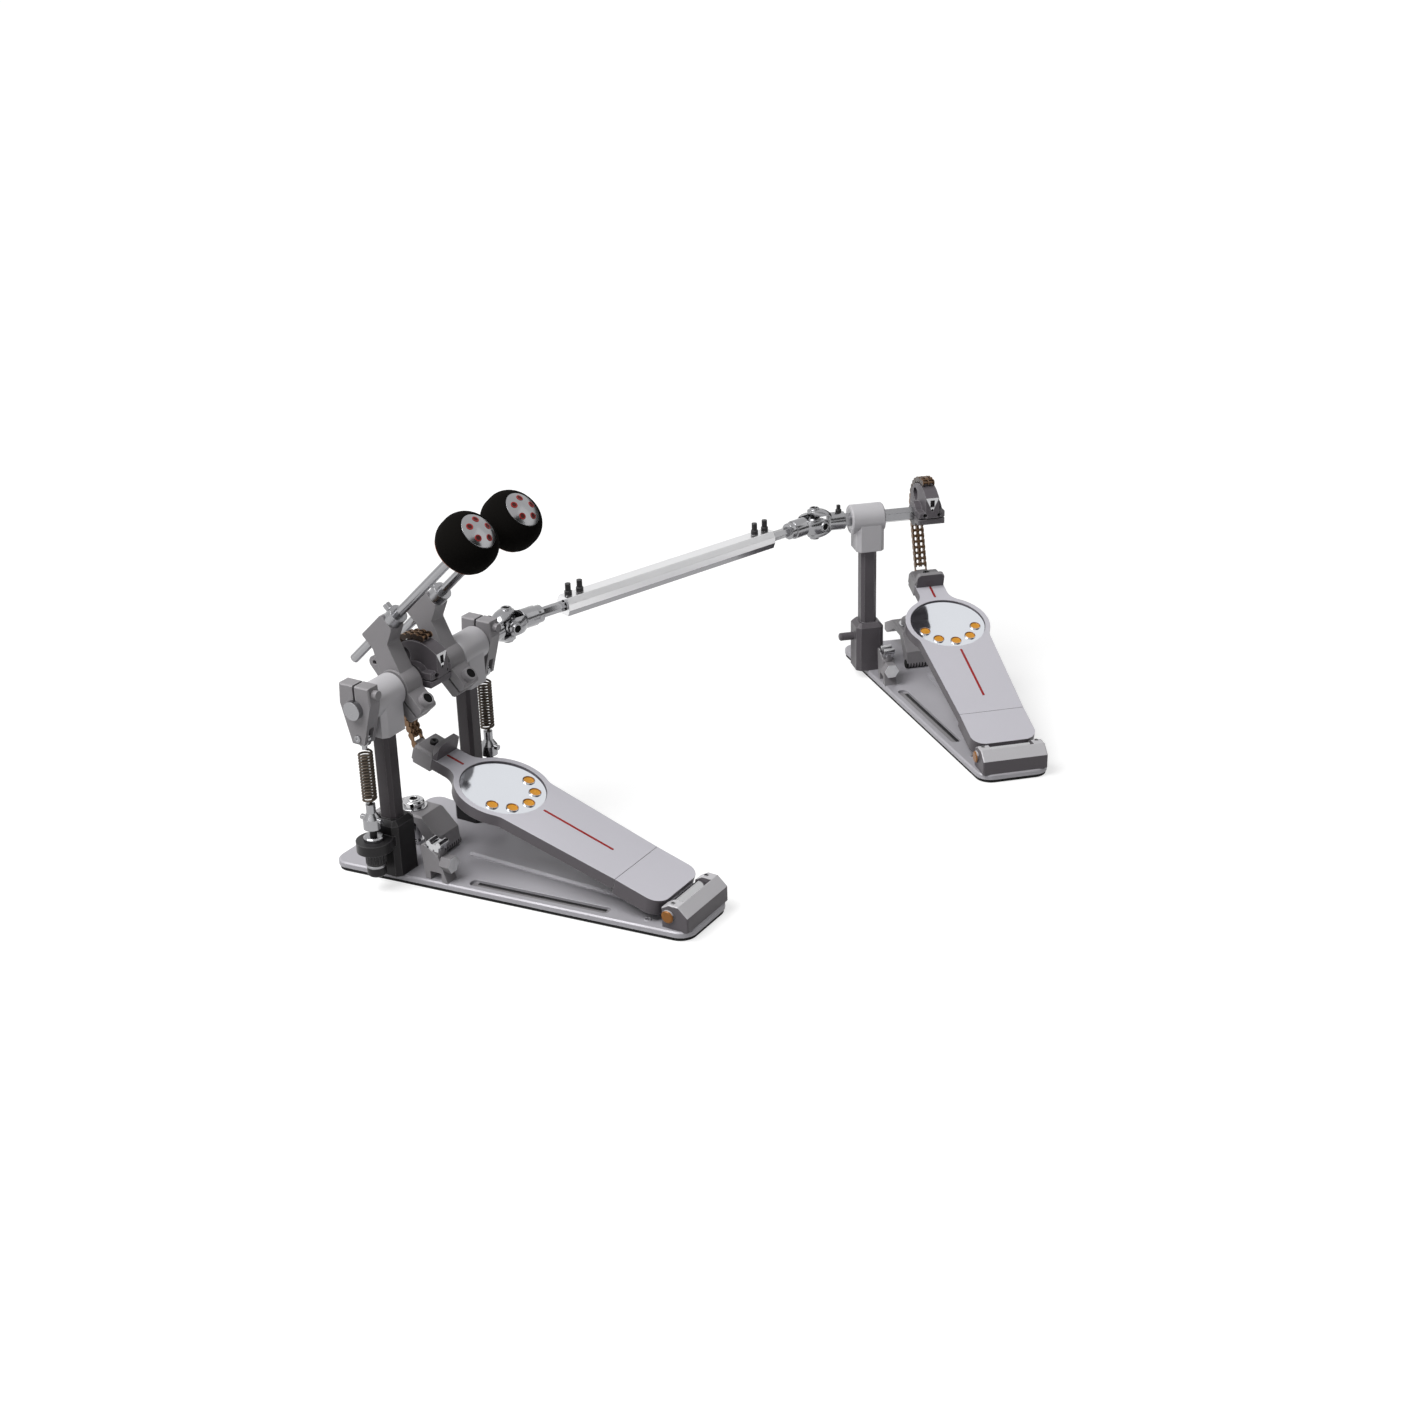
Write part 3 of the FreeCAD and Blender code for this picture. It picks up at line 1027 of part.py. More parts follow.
def link(joint_place):
    """Telescopic link between the two universal joints, drawn along +X from the first."""
    flip = Placement(Vector(), HALF_TURN)
    quarter = Placement(Vector(), Rotation(Vector(1, 0, 0), QUARTER))
    near, far = S.yoke_neck + S.yoke_hub_long - S.overrun, S.link_length
    fork = yoke("link_drive_rod", None, S.open_pivot_gap)
    fork.Placement = flip * quarter
    shank = hexagon("link_drive_rod_bar", S.link_flats + S.slide_gap * 2, (near, 0, 0),
                    S.tube_near + S.drive_rod_in - near)
    collar = rod("link_drive_rod_collar", S.link_collar, (near, 0, 0), S.link_collar_long, "x")
    node("link_drive_rod", fuse("link_drive_rod", fork, shank, collar), joint_place)
    half, top = S.tube_half, S.tube_top_half
    tube = prism("link_tube_blank", [
        (top, half), (half, S.tube_waist), (half, -S.tube_waist), (top, -half), (-top, -half),
        (-half, -S.tube_waist), (-half, S.tube_waist), (-top, half)], S.tube_near, TUBE_END, SIDE)
    bore = hexagon("link_tube_bore", S.link_flats + S.slide_gap * 2, (S.tube_near - S.overrun, 0, 0),
                   TUBE_END - S.tube_near + S.overrun * 2)
    screws = []
    ends = (S.tube_near + S.link_screw_near, S.tube_near + S.link_screw_near + S.link_screw_step,
            TUBE_END - S.link_screw_near, TUBE_END - S.link_screw_near - S.link_screw_step)
    for index, along in enumerate(ends):
        stem = rod(f"link_screw_{index}", S.link_screw, (along, 0, half), S.link_screw_high)
        head = rod(f"link_screw_head_{index}", S.link_screw_head, (along, 0, half), S.link_screw_head_high)
        screws.append(fuse(f"link_key_{index}", stem, head))
    node("link_tube", group("link_tube", cut("link_tube_body", tube, bore), *screws), joint_place)
    fork = yoke("link_slide_rod", None, S.open_pivot_gap)
    fork.Placement = Placement(Vector(float(far), 0, 0), quarter.Rotation)
    shank = hexagon("link_slide_rod_bar", S.link_flats, (TUBE_END - S.slide_rod_in, 0, 0),
                    far - near - TUBE_END + S.slide_rod_in)
    collar = rod("link_slide_rod_collar", S.link_collar, (far - near - S.link_collar_long, 0, 0),
                 S.link_collar_long, "x")
    node("link_slide_rod", fuse("link_slide_rod", fork, shank, collar), joint_place)
    cross("main_cross", joint_place)
    cross("slave_cross", joint_place * Placement(Vector(float(far), 0, 0), Rotation()))


def bridge(name):
    """Arched lever: a round heel on the plate, a crown, and a jaw over the plate's front edge."""
    floor = PLATE_TOP + S.bridge_seat_gap
    tip_back, crown = -S.bridge_tip_back, PLATE_TOP + S.bridge_rise
    thick, jaw = S.bridge_thick, PLATE_TOP + S.bridge_jaw_high
    arch = prism(f"{name}_arch", [
        (tip_back - S.bridge_tip, floor + S.bridge_tip),
        (-S.bridge_swell_back, PLATE_TOP + S.bridge_swell_high),
        (-S.bridge_crown_back - thick, crown - thick),
        (-S.bridge_crown_back, crown), (S.bridge_crown_front, crown),
        (S.bridge_jaw, jaw + S.bridge_jaw_thick), (S.bridge_jaw, jaw),
        (S.bridge_jaw - S.bridge_jaw_thick, jaw),
        (S.bridge_crown_front - thick, crown - thick), (-S.bridge_crown_back + thick, crown - thick),
        (tip_back + S.bridge_tip, floor + S.bridge_tip)],
        S.bridge_centre - S.bridge_half, S.bridge_centre + S.bridge_half, SIDE)
    heel = rod(f"{name}_heel", S.bridge_tip,
               (S.bridge_centre - S.bridge_half, tip_back, floor + S.bridge_tip), S.bridge_half * 2, "x")
    arch = bevel(f"{name}_edge", arch, S.bridge_bevel,
                 lambda a, b, m: abs(abs(m.x - float(S.bridge_centre)) - float(S.bridge_half)) < NEAR
                 and m.z > float(crown) - NEAR)
    hole = rod(f"{name}_hole", S.bolt_hole, (S.bridge_centre, S.bolt_at, PLATE_TOP),
               S.bridge_rise + S.overrun)
    return cut(f"{name}_lever", fuse(f"{name}_body", arch, heel), hole)


def bridge_bolt(name):
    """Bolt through the bridge's crown, with a bright round head, standing on a foot pad."""
    crown, floor = PLATE_TOP + S.bridge_rise, PLATE_TOP + S.bridge_seat_gap
    stem = rod(f"{name}_stem", S.bolt_radius, (S.bridge_centre, S.bolt_at, floor), crown - floor)
    head = rod(f"{name}_head", S.bolt_head, (S.bridge_centre, S.bolt_at, crown), S.bolt_head_high)
    head = soften(f"{name}_head_round", head, S.bolt_head_round, level_at(crown + S.bolt_head_high))
    foot = rod(f"{name}_foot", S.bolt_foot, (S.bridge_centre, S.bolt_at, floor), S.bolt_foot_high)
    return fuse(f"{name}_bolt", stem, head, foot)


def side_spur(name):
    """Wedge over an arch at the plate's edge, with a winged key screw and a nut behind its back slope."""
    centre = -S.spur_out
    crest, saddle = PLATE_TOP + S.spur_high, PLATE_TOP + S.spur_saddle_high
    wedge = prism(f"{name}_wedge", [
        (-S.spur_front_foot, PLATE_TOP), (-S.spur_front, crest), (-S.spur_crest, crest),
        (-S.spur_saddle, saddle), (-S.spur_back, PLATE_TOP)],
        centre - S.spur_half, centre + S.spur_half, SIDE)
    arch = prism(f"{name}_arch", [
        (-S.spur_arch_front, PLATE_TOP - S.overrun), (-S.spur_arch_front, PLATE_TOP + S.spur_arch_high),
        (-S.spur_arch_back, PLATE_TOP + S.spur_arch_high), (-S.spur_arch_back, PLATE_TOP - S.overrun)],
        centre - S.spur_half - S.overrun, centre + S.spur_half + S.overrun, SIDE)
    wedge = soften(f"{name}_bends", wedge, S.spur_bend,
                   lambda a, b, m: abs(a.x - b.x) > float(S.spur_half) and m.z > float(saddle) - NEAR)
    key_at = (centre, -S.spur_key_at)
    low, high = PLATE_TOP + S.spur_key_low, PLATE_TOP + S.spur_key_high
    stem = rod(f"{name}_stem", S.spur_key_radius, (*key_at, low), high - low)
    wing_height = PLATE_TOP + S.spur_wing_high - S.spur_wing
    wings = []
    for index, along in enumerate((S.spur_wing_out, -S.spur_wing_out)):
        wing = rod(f"{name}_wing_{index}", S.spur_wing,
                   (centre - S.spur_wing_long, along - S.spur_key_at, wing_height),
                   S.spur_wing_long * 2, "x")
        wings.append(wing)
    saddle_bar = box(f"{name}_saddle_bar",
                     (centre - S.spur_wing_long, -S.spur_key_at - S.spur_wing_out, high - S.spur_square),
                     (centre + S.spur_wing_long, S.spur_wing_out - S.spur_key_at, wing_height))
    key = fuse(f"{name}_key", stem, saddle_bar, *wings)
    nut_height = PLATE_TOP + S.spur_nut_height
    leg_at = S.spur_back - (S.spur_back - S.spur_saddle) * (S.spur_nut_height / S.spur_saddle_high)
    nut = hexagon(f"{name}_nut", S.spur_nut_flats, (centre, -leg_at - S.spur_nut_long, nut_height),
                  S.spur_nut_long + S.spur_nut_in, "y")
    body = fuse(f"{name}_bracket", wedge, nut)
    return group(name, cut(f"{name}_body", body, stem, arch), key)


def pedal_parts(pedal, place):
    """What the two pedals have alike."""
    base_plate(pedal, place)
    base_mat(pedal, place)
    heel_block(pedal, place)
    footboard(pedal, place)
    heel_deck(pedal, place)
    hinge_bar(pedal, place)
    traction(pedal, place)
    cam(pedal, place)
    chains(pedal, place)
    node(f"{pedal}_side_spur", side_spur(f"{pedal}_side_spur"), place)


def main_pedal():
    """The main pedal's own parts: two posts, two sprung axles on one line, and two beaters."""
    sides = {"left": -1, "right": 1}
    posts, housings, rings, nuts = [], [], [], []
    for side, out in sides.items():
        centre = S.main_post * out
        posts.append(post(f"main_post_{side}", centre, out))
        housings.append(bearing_housing(f"main_housing_{side}", centre, out))
        rings += bearings(f"main_bearing_{side}", centre, out)
        nuts.append(spring_nut(f"main_nut_{side}", out))
        tension_knob(f"{side}_tension_knob", out)
        spring(f"{side}_spring", out)
        spring_hook(f"{side}_spring_hook", out)
    node("main_posts", group("main_posts", *posts))
    node("main_bearing_housings", group("main_bearing_housings", *housings))
    node("main_bearings", group("main_bearings", *rings))
    node("main_spring_nuts", group("main_spring_nuts", *nuts))
    node("main_hoop_clamp", bridge("main_hoop_clamp"))
    node("main_clamp_bolt", bridge_bolt("main_clamp_bolt"))
    for owner, out in (("primary", -1), ("secondary", 1)):
        rocker(f"{owner}_rocker", out)
        beater_holder(f"{owner}_beater_holder", out)
        beater_shaft(f"{owner}_beater_shaft", out)
        beater_head(f"{owner}_beater_head", out)
        fittings(f"{owner}_fittings", out)
    main_axles()
    fork = yoke("main_yoke", S.axle_flats, S.running_gap)
    joint_at = Placement(Vector(float(S.main_joint), 0, float(S.axle_height)), Rotation())
    node("main_yoke", fork, joint_at)


def main_axles():
    """Primary axle with a spigot in its end, and the secondary axle that the spigot carries."""
    outer_end = S.spring_out + S.rocker_half
    journal_out, journal_in = S.main_post + S.housing_outer, S.main_post - S.housing_inner
    middle = S.cam_hub_half + S.side_gap
    spigot = S.beater_out + S.holder_half - S.bearing_wide
    parts = stepped_axle("primary_axle", (-outer_end, -journal_out), (-journal_out, -journal_in),
                         (-journal_in, middle))
    nose = rod("primary_axle_spigot", S.shaft_radius, (middle - S.overrun, 0, S.axle_height),
               spigot - middle + S.overrun, "x")
    node("primary_axle", fuse("primary_axle", *parts, nose))
    yoke_end = S.main_joint - S.yoke_neck
    parts = stepped_axle("secondary_axle", (journal_out, yoke_end), (journal_in, journal_out),
                         (middle + S.side_gap, journal_in))
    bore = rod("secondary_axle_bore", S.shaft_radius + S.running_gap, (middle, 0, S.axle_height),
               spigot - middle + S.side_gap, "x")
    node("secondary_axle", cut("secondary_axle", fuse("secondary_axle_body", *parts), bore))


def slave_pedal(place):
    """The slave pedal's own parts: one post, its axle and the second universal joint."""
    centre = -S.slave_post
    node("slave_post", post("slave_post", centre), place)
    node("slave_bearing_housing", bearing_housing("slave_bearing_housing", centre, -1), place)
    node("slave_bearings", group("slave_bearings", *bearings("slave_bearing", centre, -1)), place)
    node("slave_bridge", group("slave_bridge", bridge("slave_bridge"), bridge_bolt("slave_bridge")), place)
    outer, inner = centre - S.housing_outer, centre + S.housing_inner
    yoke_end = S.yoke_neck - S.slave_joint
    parts = stepped_axle("slave_axle", (yoke_end, outer), (outer, inner),
                         (inner, S.cam_hub_half + S.side_gap))
    node("slave_axle", fuse("slave_axle", *parts), place)
    turned = Placement(Vector(-float(S.slave_joint), 0, float(S.axle_height)), HALF_TURN)
    node("slave_yoke", yoke("slave_yoke", S.axle_flats, S.running_gap), place * turned)


def write_parts():
    """Stop on a failed feature or a bad solid, then write one file for each node."""
    doc.recompute()
    for feature in doc.Objects:
        bad = {"Invalid", "Error"} & set(feature.State)
        if bad:
            raise RuntimeError(f"{feature.Name} is {sorted(bad)}")
    os.makedirs("parts", exist_ok=True)
    for name, feature in NODES.items():
        shape = feature.Shape
        if shape.isNull() or not shape.isValid() or not shape.Solids:
            raise RuntimeError(f"{name} has no valid solid")
        shape.exportStep(f"parts/{name}.step")
    print(len(NODES), "nodes")


LINK_TURN = Rotation(Vector(0, 0, 1), -float(S.main_bend_angle))
LINK_PLACE = Placement(Vector(float(S.main_joint), 0, float(S.axle_height)), LINK_TURN)
SLAVE_TURN = Rotation(Vector(0, 0, 1), -float(S.main_bend_angle) - float(S.slave_bend_angle))
SLAVE_JOINT_AT = LINK_PLACE.multVec(Vector(float(S.link_length), 0, 0))
SLAVE_PLACE = Placement(SLAVE_JOINT_AT + SLAVE_TURN.multVec(
    Vector(float(S.slave_joint), 0, 0)) - Vector(0, 0, float(S.axle_height)), SLAVE_TURN)

pedal_parts("main", FLAT)
main_pedal()
pedal_parts("slave", SLAVE_PLACE)
slave_pedal(SLAVE_PLACE)
link(LINK_PLACE)
write_parts()
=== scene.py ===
import json
import logging
import math
from dataclasses import dataclass, field
from enum import Enum
from typing import Callable, ClassVar, Iterable

import bpy
from mathutils import Matrix, Vector


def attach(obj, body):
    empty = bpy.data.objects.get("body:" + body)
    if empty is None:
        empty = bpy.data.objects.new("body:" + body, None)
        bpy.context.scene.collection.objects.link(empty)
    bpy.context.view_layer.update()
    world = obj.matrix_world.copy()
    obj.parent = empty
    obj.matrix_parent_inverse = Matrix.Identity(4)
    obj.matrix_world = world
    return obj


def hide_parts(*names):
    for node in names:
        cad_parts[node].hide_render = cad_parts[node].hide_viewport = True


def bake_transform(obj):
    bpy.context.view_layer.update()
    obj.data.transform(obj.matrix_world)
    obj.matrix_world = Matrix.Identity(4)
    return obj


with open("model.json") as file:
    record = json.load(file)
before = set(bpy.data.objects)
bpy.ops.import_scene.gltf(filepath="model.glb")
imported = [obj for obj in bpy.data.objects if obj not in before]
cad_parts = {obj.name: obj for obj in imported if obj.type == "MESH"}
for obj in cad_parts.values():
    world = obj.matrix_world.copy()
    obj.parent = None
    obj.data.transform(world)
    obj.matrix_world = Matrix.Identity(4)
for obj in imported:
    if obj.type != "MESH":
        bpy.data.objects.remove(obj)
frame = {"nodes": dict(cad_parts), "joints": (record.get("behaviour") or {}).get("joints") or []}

LOG = logging.getLogger("double_pedal")
MM = 0.001
SIDES = (-1, 1)
Point = tuple[float, float, float]
Pair = tuple[float, float]
Piece = bpy.types.Object
Socket = bpy.types.NodeSocket
Test = Callable[[Vector, Vector], bool]


class Grain(Enum):
    """Surface texture of a finish, with the stretch of its noise along X, Y and Z."""

    CAST = (1.0, 1.0, 1.0)
    ALONG_X = (0.04, 1.0, 1.0)
    SMOOTH = (0.3, 0.3, 0.3)


class Slot(Enum):
    """Material slots of the record."""

    SATIN = "satin_silver"
    CAST = "cast_grey"
    RUBBER = "mat_rubber"
    CHROME = "chrome"
    STEEL = "steel"
    AMBER = "amber"
    DARK = "dark_steel"


class Part(Enum):
    """Kinds of mesh element, as edit mode selects them."""

    FACE = "FACE"
    EDGE = "EDGE"
    POINT = "VERT"


class Shading:
    """Short moves that build the nodes of a material or world."""

    def __init__(self, owner: bpy.types.ID) -> None:
        """Turn on the nodes of a material or world, and take hold of them."""
        owner.use_nodes = True
        self.nodes, self.links = owner.node_tree.nodes, owner.node_tree.links

    def add(self, kind: str, sockets: dict[str | int, object],
            operation: str | None = None) -> bpy.types.Node:
        """Add a node.

        Args:
            kind: The node's type, without the ShaderNode in front.
            sockets: Its inputs, as for fill.
            operation: Its operation, where it has one.

        Returns:
            The new node.
        """
        node = self.nodes.new(f"ShaderNode{kind}")
        if operation is not None:
            node.operation = operation
        self.fill(node, sockets)
        return node

    def fill(self, node: bpy.types.Node, sockets: dict[str | int, object]) -> None:
        """Set or link a node's inputs.

        Args:
            node: The node.
            sockets: Values to set, or outputs to link, by the input's name or number.
        """
        for key, value in sockets.items():
            if isinstance(value, Socket):
                self.links.new(value, node.inputs[key])
            else:
                node.inputs[key].default_value = value

    def edge_normal(self, radius: float) -> Socket:
        """Give the normal of a surface with rounded edges.

        Args:
            radius: The edges' radius in metres.

        Returns:
            The normal.
        """
        bevel = self.add("Bevel", {"Radius": radius})
        bevel.samples = 4
        return bevel.outputs["Normal"]

    def seen(self) -> Socket:
        """Tell the rays that show the background itself.

        Returns:
            A socket that is 1 for camera, glossy and transmission rays.
        """
        path = self.add("LightPath", {})
        seen = path.outputs["Is Camera Ray"]
        for ray in ("Is Glossy Ray", "Is Transmission Ray"):
            seen = self.add("Math", {0: seen, 1: path.outputs[ray]}, "MAXIMUM").outputs["Value"]
        return seen


@dataclass(frozen=True)
class Finish:
    """One procedural surface: its colour, gloss and texture.

    Sizes of texture are given as noise scale, in cells per metre.
    """

    name: str
    colour: Point
    metallic: float
    roughness: float
    grain: Grain = Grain.CAST
    grain_scale: float = 900.0
    bump: float = 0.08
    mottle: float = 0.12
    mottle_scale: float = 35.0
    gloss_spread: float = 0.08
    edge_round: float = 0.0006
    edge_wear: float = 0.0
    specular: float = 0.5
    fine_detail: ClassVar[float] = 4.0
    broad_detail: ClassVar[float] = 5.0
    relief_depth: ClassVar[float] = 0.0005
    noise_span: ClassVar[Pair] = (0.3, 0.7)
    least_roughness: ClassVar[float] = 0.02
    wear_width: ClassVar[float] = 0.0012
    wear_bend: ClassVar[Pair] = (0.995, 0.8)
    worn_colour: ClassVar[tuple[float, ...]] = (0.72, 0.72, 0.73, 1)

    def material(self) -> bpy.types.Material:
        """Build the node material, or give the one already built.

        Returns:
            The material. The imported solids carry the slots' names, so its own name has a prefix.
        """
        name = f"pedal_{self.name}"
        known = bpy.data.materials.get(name)
        if known is not None:
            return known
        material = bpy.data.materials.new(name)
        tree = Shading(material)
        place = tree.add("TexCoord", {}).outputs["Object"]
        along = tree.add("Mapping", {"Scale": self.grain.value, "Vector": place}).outputs["Vector"]
        noises = (self.grain_scale, self.fine_detail, along), (self.mottle_scale, self.broad_detail, place)
        fine, broad = (tree.add("TexNoise", {"Scale": scale, "Detail": detail, "Vector": at}).outputs["Fac"]
                       for scale, detail, at in noises)
        tree.fill(tree.nodes["Principled BSDF"], {
            "Metallic": self.metallic, "Specular IOR Level": self.specular,
            "Base Color": self._colour(tree, broad, fine), "Roughness": self._gloss(tree, broad),
            "Normal": self._relief(tree, fine)})
        return material

    def _colour(self, tree: Shading, broad: Socket, fine: Socket) -> Socket:
        """Vary the colour over the surface, with paler worn edges where the finish has them.

        Args:
            tree: The material's nodes.
            broad: The broad noise.
            fine: The fine noise.

        Returns:
            The colour.
        """
        half = tree.add("Math", {0: broad, 1: 0.5}, "MULTIPLY").outputs["Value"]
        both = tree.add("Math", {0: fine, 1: 0.5, 2: half}, "MULTIPLY_ADD").outputs["Value"]
        colour = tree.add("MixRGB", {
            "Fac": both, "Color1": (*(c * (1 - self.mottle) for c in self.colour), 1),
            "Color2": (*(min(1, c * (1 + self.mottle)) for c in self.colour), 1)}).outputs["Color"]
        if self.edge_wear == 0:
            return colour
        true = tree.add("NewGeometry", {}).outputs["Normal"]
        bend = tree.add("VectorMath", {0: tree.edge_normal(self.wear_width), 1: true}, "DOT_PRODUCT")
        worn = tree.add("MapRange", {
            "Value": bend.outputs["Value"], "From Min": self.wear_bend[0], "From Max": self.wear_bend[1],
            "To Max": self.edge_wear}).outputs["Result"]
        mix = tree.add("MixRGB", {"Fac": worn, "Color1": colour, "Color2": self.worn_colour})
        return mix.outputs["Color"]

    def _gloss(self, tree: Shading, broad: Socket) -> Socket:
        """Let the roughness wander a little, as on handled metal.

        Args:
            tree: The material's nodes.
            broad: The broad noise.

        Returns:
            The roughness.
        """
        return tree.add("MapRange", {
            "Value": broad, "From Min": self.noise_span[0], "From Max": self.noise_span[1],
            "To Min": max(self.least_roughness, self.roughness - self.gloss_spread),
            "To Max": min(1.0, self.roughness + self.gloss_spread)}).outputs["Result"]

    def _relief(self, tree: Shading, fine: Socket) -> Socket:
        """Lay fine relief over softly rounded edges.

        Args:
            tree: The material's nodes.
            fine: The fine noise.

        Returns:
            The normal.
        """
        bump = tree.add("Bump", {"Strength": self.bump, "Distance": self.relief_depth, "Height": fine})
        if self.edge_round > 0:
            tree.fill(bump, {"Normal": tree.edge_normal(self.edge_round)})
        return bump.outputs["Normal"]


SATIN = Finish("satin_silver", (0.565, 0.554, 0.60), 0.03, 0.45, bump=0.04, mottle=0.04, specular=0.2)
PLATE = Finish("plate_silver", (0.42, 0.41, 0.44), 0.15, 0.4, bump=0.06, mottle=0.06, edge_wear=0.3,
               specular=0.3)
HEEL = Finish("heel_silver", (0.52, 0.51, 0.53), 0.1, 0.4, bump=0.06, mottle=0.05, edge_wear=0.2,
              specular=0.3)
CAST = Finish("cast_grey", (0.25, 0.24, 0.25), 0.1, 0.42, bump=0.1, mottle=0.06, edge_wear=0.2,
              specular=0.3)
# Dark grey: the slave posts' own colour, and painted shade on the cam, the heel blocks' sides and the boards'
# side walls and undersides.
POST_AND_SHADE = Finish("post_grey_and_shade", (0.11, 0.10, 0.11), 0.1, 0.42, bump=0.1, mottle=0.08, edge_wear=0.25,
              specular=0.25)
SHADE = Finish("shaded_post", (0.062, 0.055, 0.06), 0.1, 0.42, bump=0.1, mottle=0.08, edge_wear=0.15,
               specular=0.2)
# Near-black: the posts' feet, partly their own dark finish and partly painted shade, and the strips of
# painted shade in the base plate's channels.
SOCKET_DARK_AND_SHADE = Finish("socket_dark_and_painted_shade", (0.015, 0.014, 0.015), 0.1, 0.45, bump=0.1, mottle=0.1, edge_wear=0.2,
                specular=0.2)
POLISHED = Finish("chrome", (0.50, 0.50, 0.51), 1.0, 0.13, Grain.SMOOTH, 300, bump=0.01, mottle=0.03,
                  gloss_spread=0.03)
MIRROR = Finish("mirror_disc", (0.70, 0.72, 0.76), 1.0, 0.07, Grain.SMOOTH, 200, bump=0.006, mottle=0.02,
                gloss_spread=0.02)
JOINT = Finish("joint_chrome", (0.30, 0.30, 0.31), 1.0, 0.2, Grain.SMOOTH, 300, bump=0.02, mottle=0.06,
               gloss_spread=0.05)
STEEL = Finish("bright_steel", (0.28, 0.28, 0.29), 1.0, 0.28, Grain.ALONG_X, 1400, bump=0.05, mottle=0.06)
TUBE = Finish("satin_tube", (0.76, 0.76, 0.77), 1.0, 0.3, Grain.ALONG_X, 1500, bump=0.012, mottle=0.02,
              gloss_spread=0.03)
WIRE = Finish("spring_wire", (0.085, 0.066, 0.05), 0.3, 0.5, Grain.SMOOTH, 600, bump=0.03, mottle=0.15,
              edge_round=0.0, specular=0.25)
PLATES = Finish("chain_plates", (0.045, 0.03, 0.022), 0.5, 0.36, grain_scale=1200, mottle=0.3,
                edge_round=0.0002)
BRONZE = Finish("chain_bronze", (0.17, 0.10, 0.055), 0.7, 0.34, grain_scale=1200, mottle=0.3,
                edge_round=0.0002)
RUBBER = Finish("mat_rubber", (0.012, 0.012, 0.012), 0.0, 0.75, grain_scale=1600, bump=0.3, mottle=0.25,
                specular=0.2)
FELT = Finish("black_felt", (0.006, 0.0055, 0.005), 0.0, 0.9, grain_scale=2600, bump=0.4, mottle=0.35,
              mottle_scale=120, edge_round=0.0, specular=0.02)
AMBER = Finish("amber", (0.66, 0.29, 0.02), 0.2, 0.26, Grain.SMOOTH, 400, bump=0.02, mottle=0.15,
               specular=0.3)
# Darker amber: the heel blocks' end caps, and painted shade on the walls of the board studs' dishes.
AMBER_DARK_AND_SHADE = Finish("dark_amber_and_wall_shade", (0.26, 0.10, 0.015), 0.2, 0.3, Grain.SMOOTH, 400, bump=0.02, mottle=0.2,
               specular=0.3)
LINE = Finish("head_line", (0.24, 0.07, 0.025), 0.0, 0.6, bump=0.1, mottle=0.2, edge_round=0.0, specular=0.2)
RED = Finish("red_line", (0.30, 0.02, 0.02), 0.0, 0.4, Grain.SMOOTH, 500, bump=0.02, mottle=0.1,
             edge_round=0.0, specular=0.2)
RUST = Finish("rust_trim", (0.05, 0.008, 0.006), 0.0, 0.6, bump=0.1, mottle=0.2, edge_round=0.0, specular=0.2)
DARK = Finish("dark_steel", (0.018, 0.017, 0.018), 0.2, 0.4, bump=0.1, mottle=0.15, edge_wear=0.12,
              specular=0.25)
# Near-white matte colour: a painted reflection of the white surroundings on the spur's chrome nut.
PAINTED_NUT_REFLECTION = Finish("nut_painted_reflection", (0.92, 0.92, 0.94), 0.0, 0.25, Grain.SMOOTH, 300, bump=0.01, mottle=0.02)
# Near-black painted shade inside the screws' sockets and the joints' ports.
HOLLOW_SHADE = Finish("painted_hollow_shade", (0.006, 0.006, 0.006), 0.0, 0.7, bump=0.05, mottle=0.1, edge_round=0.0,
                specular=0.1)


@dataclass(frozen=True)
class PedalFrame:
    """Where one pedal stands: its origin on the floor, and its turn about the vertical."""

    name: str
    origin: Point
    yaw: float

    def place(self, inner: Matrix | None = None) -> Matrix:
        """Give the matrix from a piece's own millimetres to the row frame.

        Args:
            inner: The piece's place in this pedal, in millimetres.

        Returns:
            A matrix in metres.
        """
        outer = Matrix.Translation(Vector(self.origin)) @ Matrix.Rotation(self.yaw, 4, "Z")
        return outer @ Matrix.Scale(MM, 4) @ (inner or Matrix())


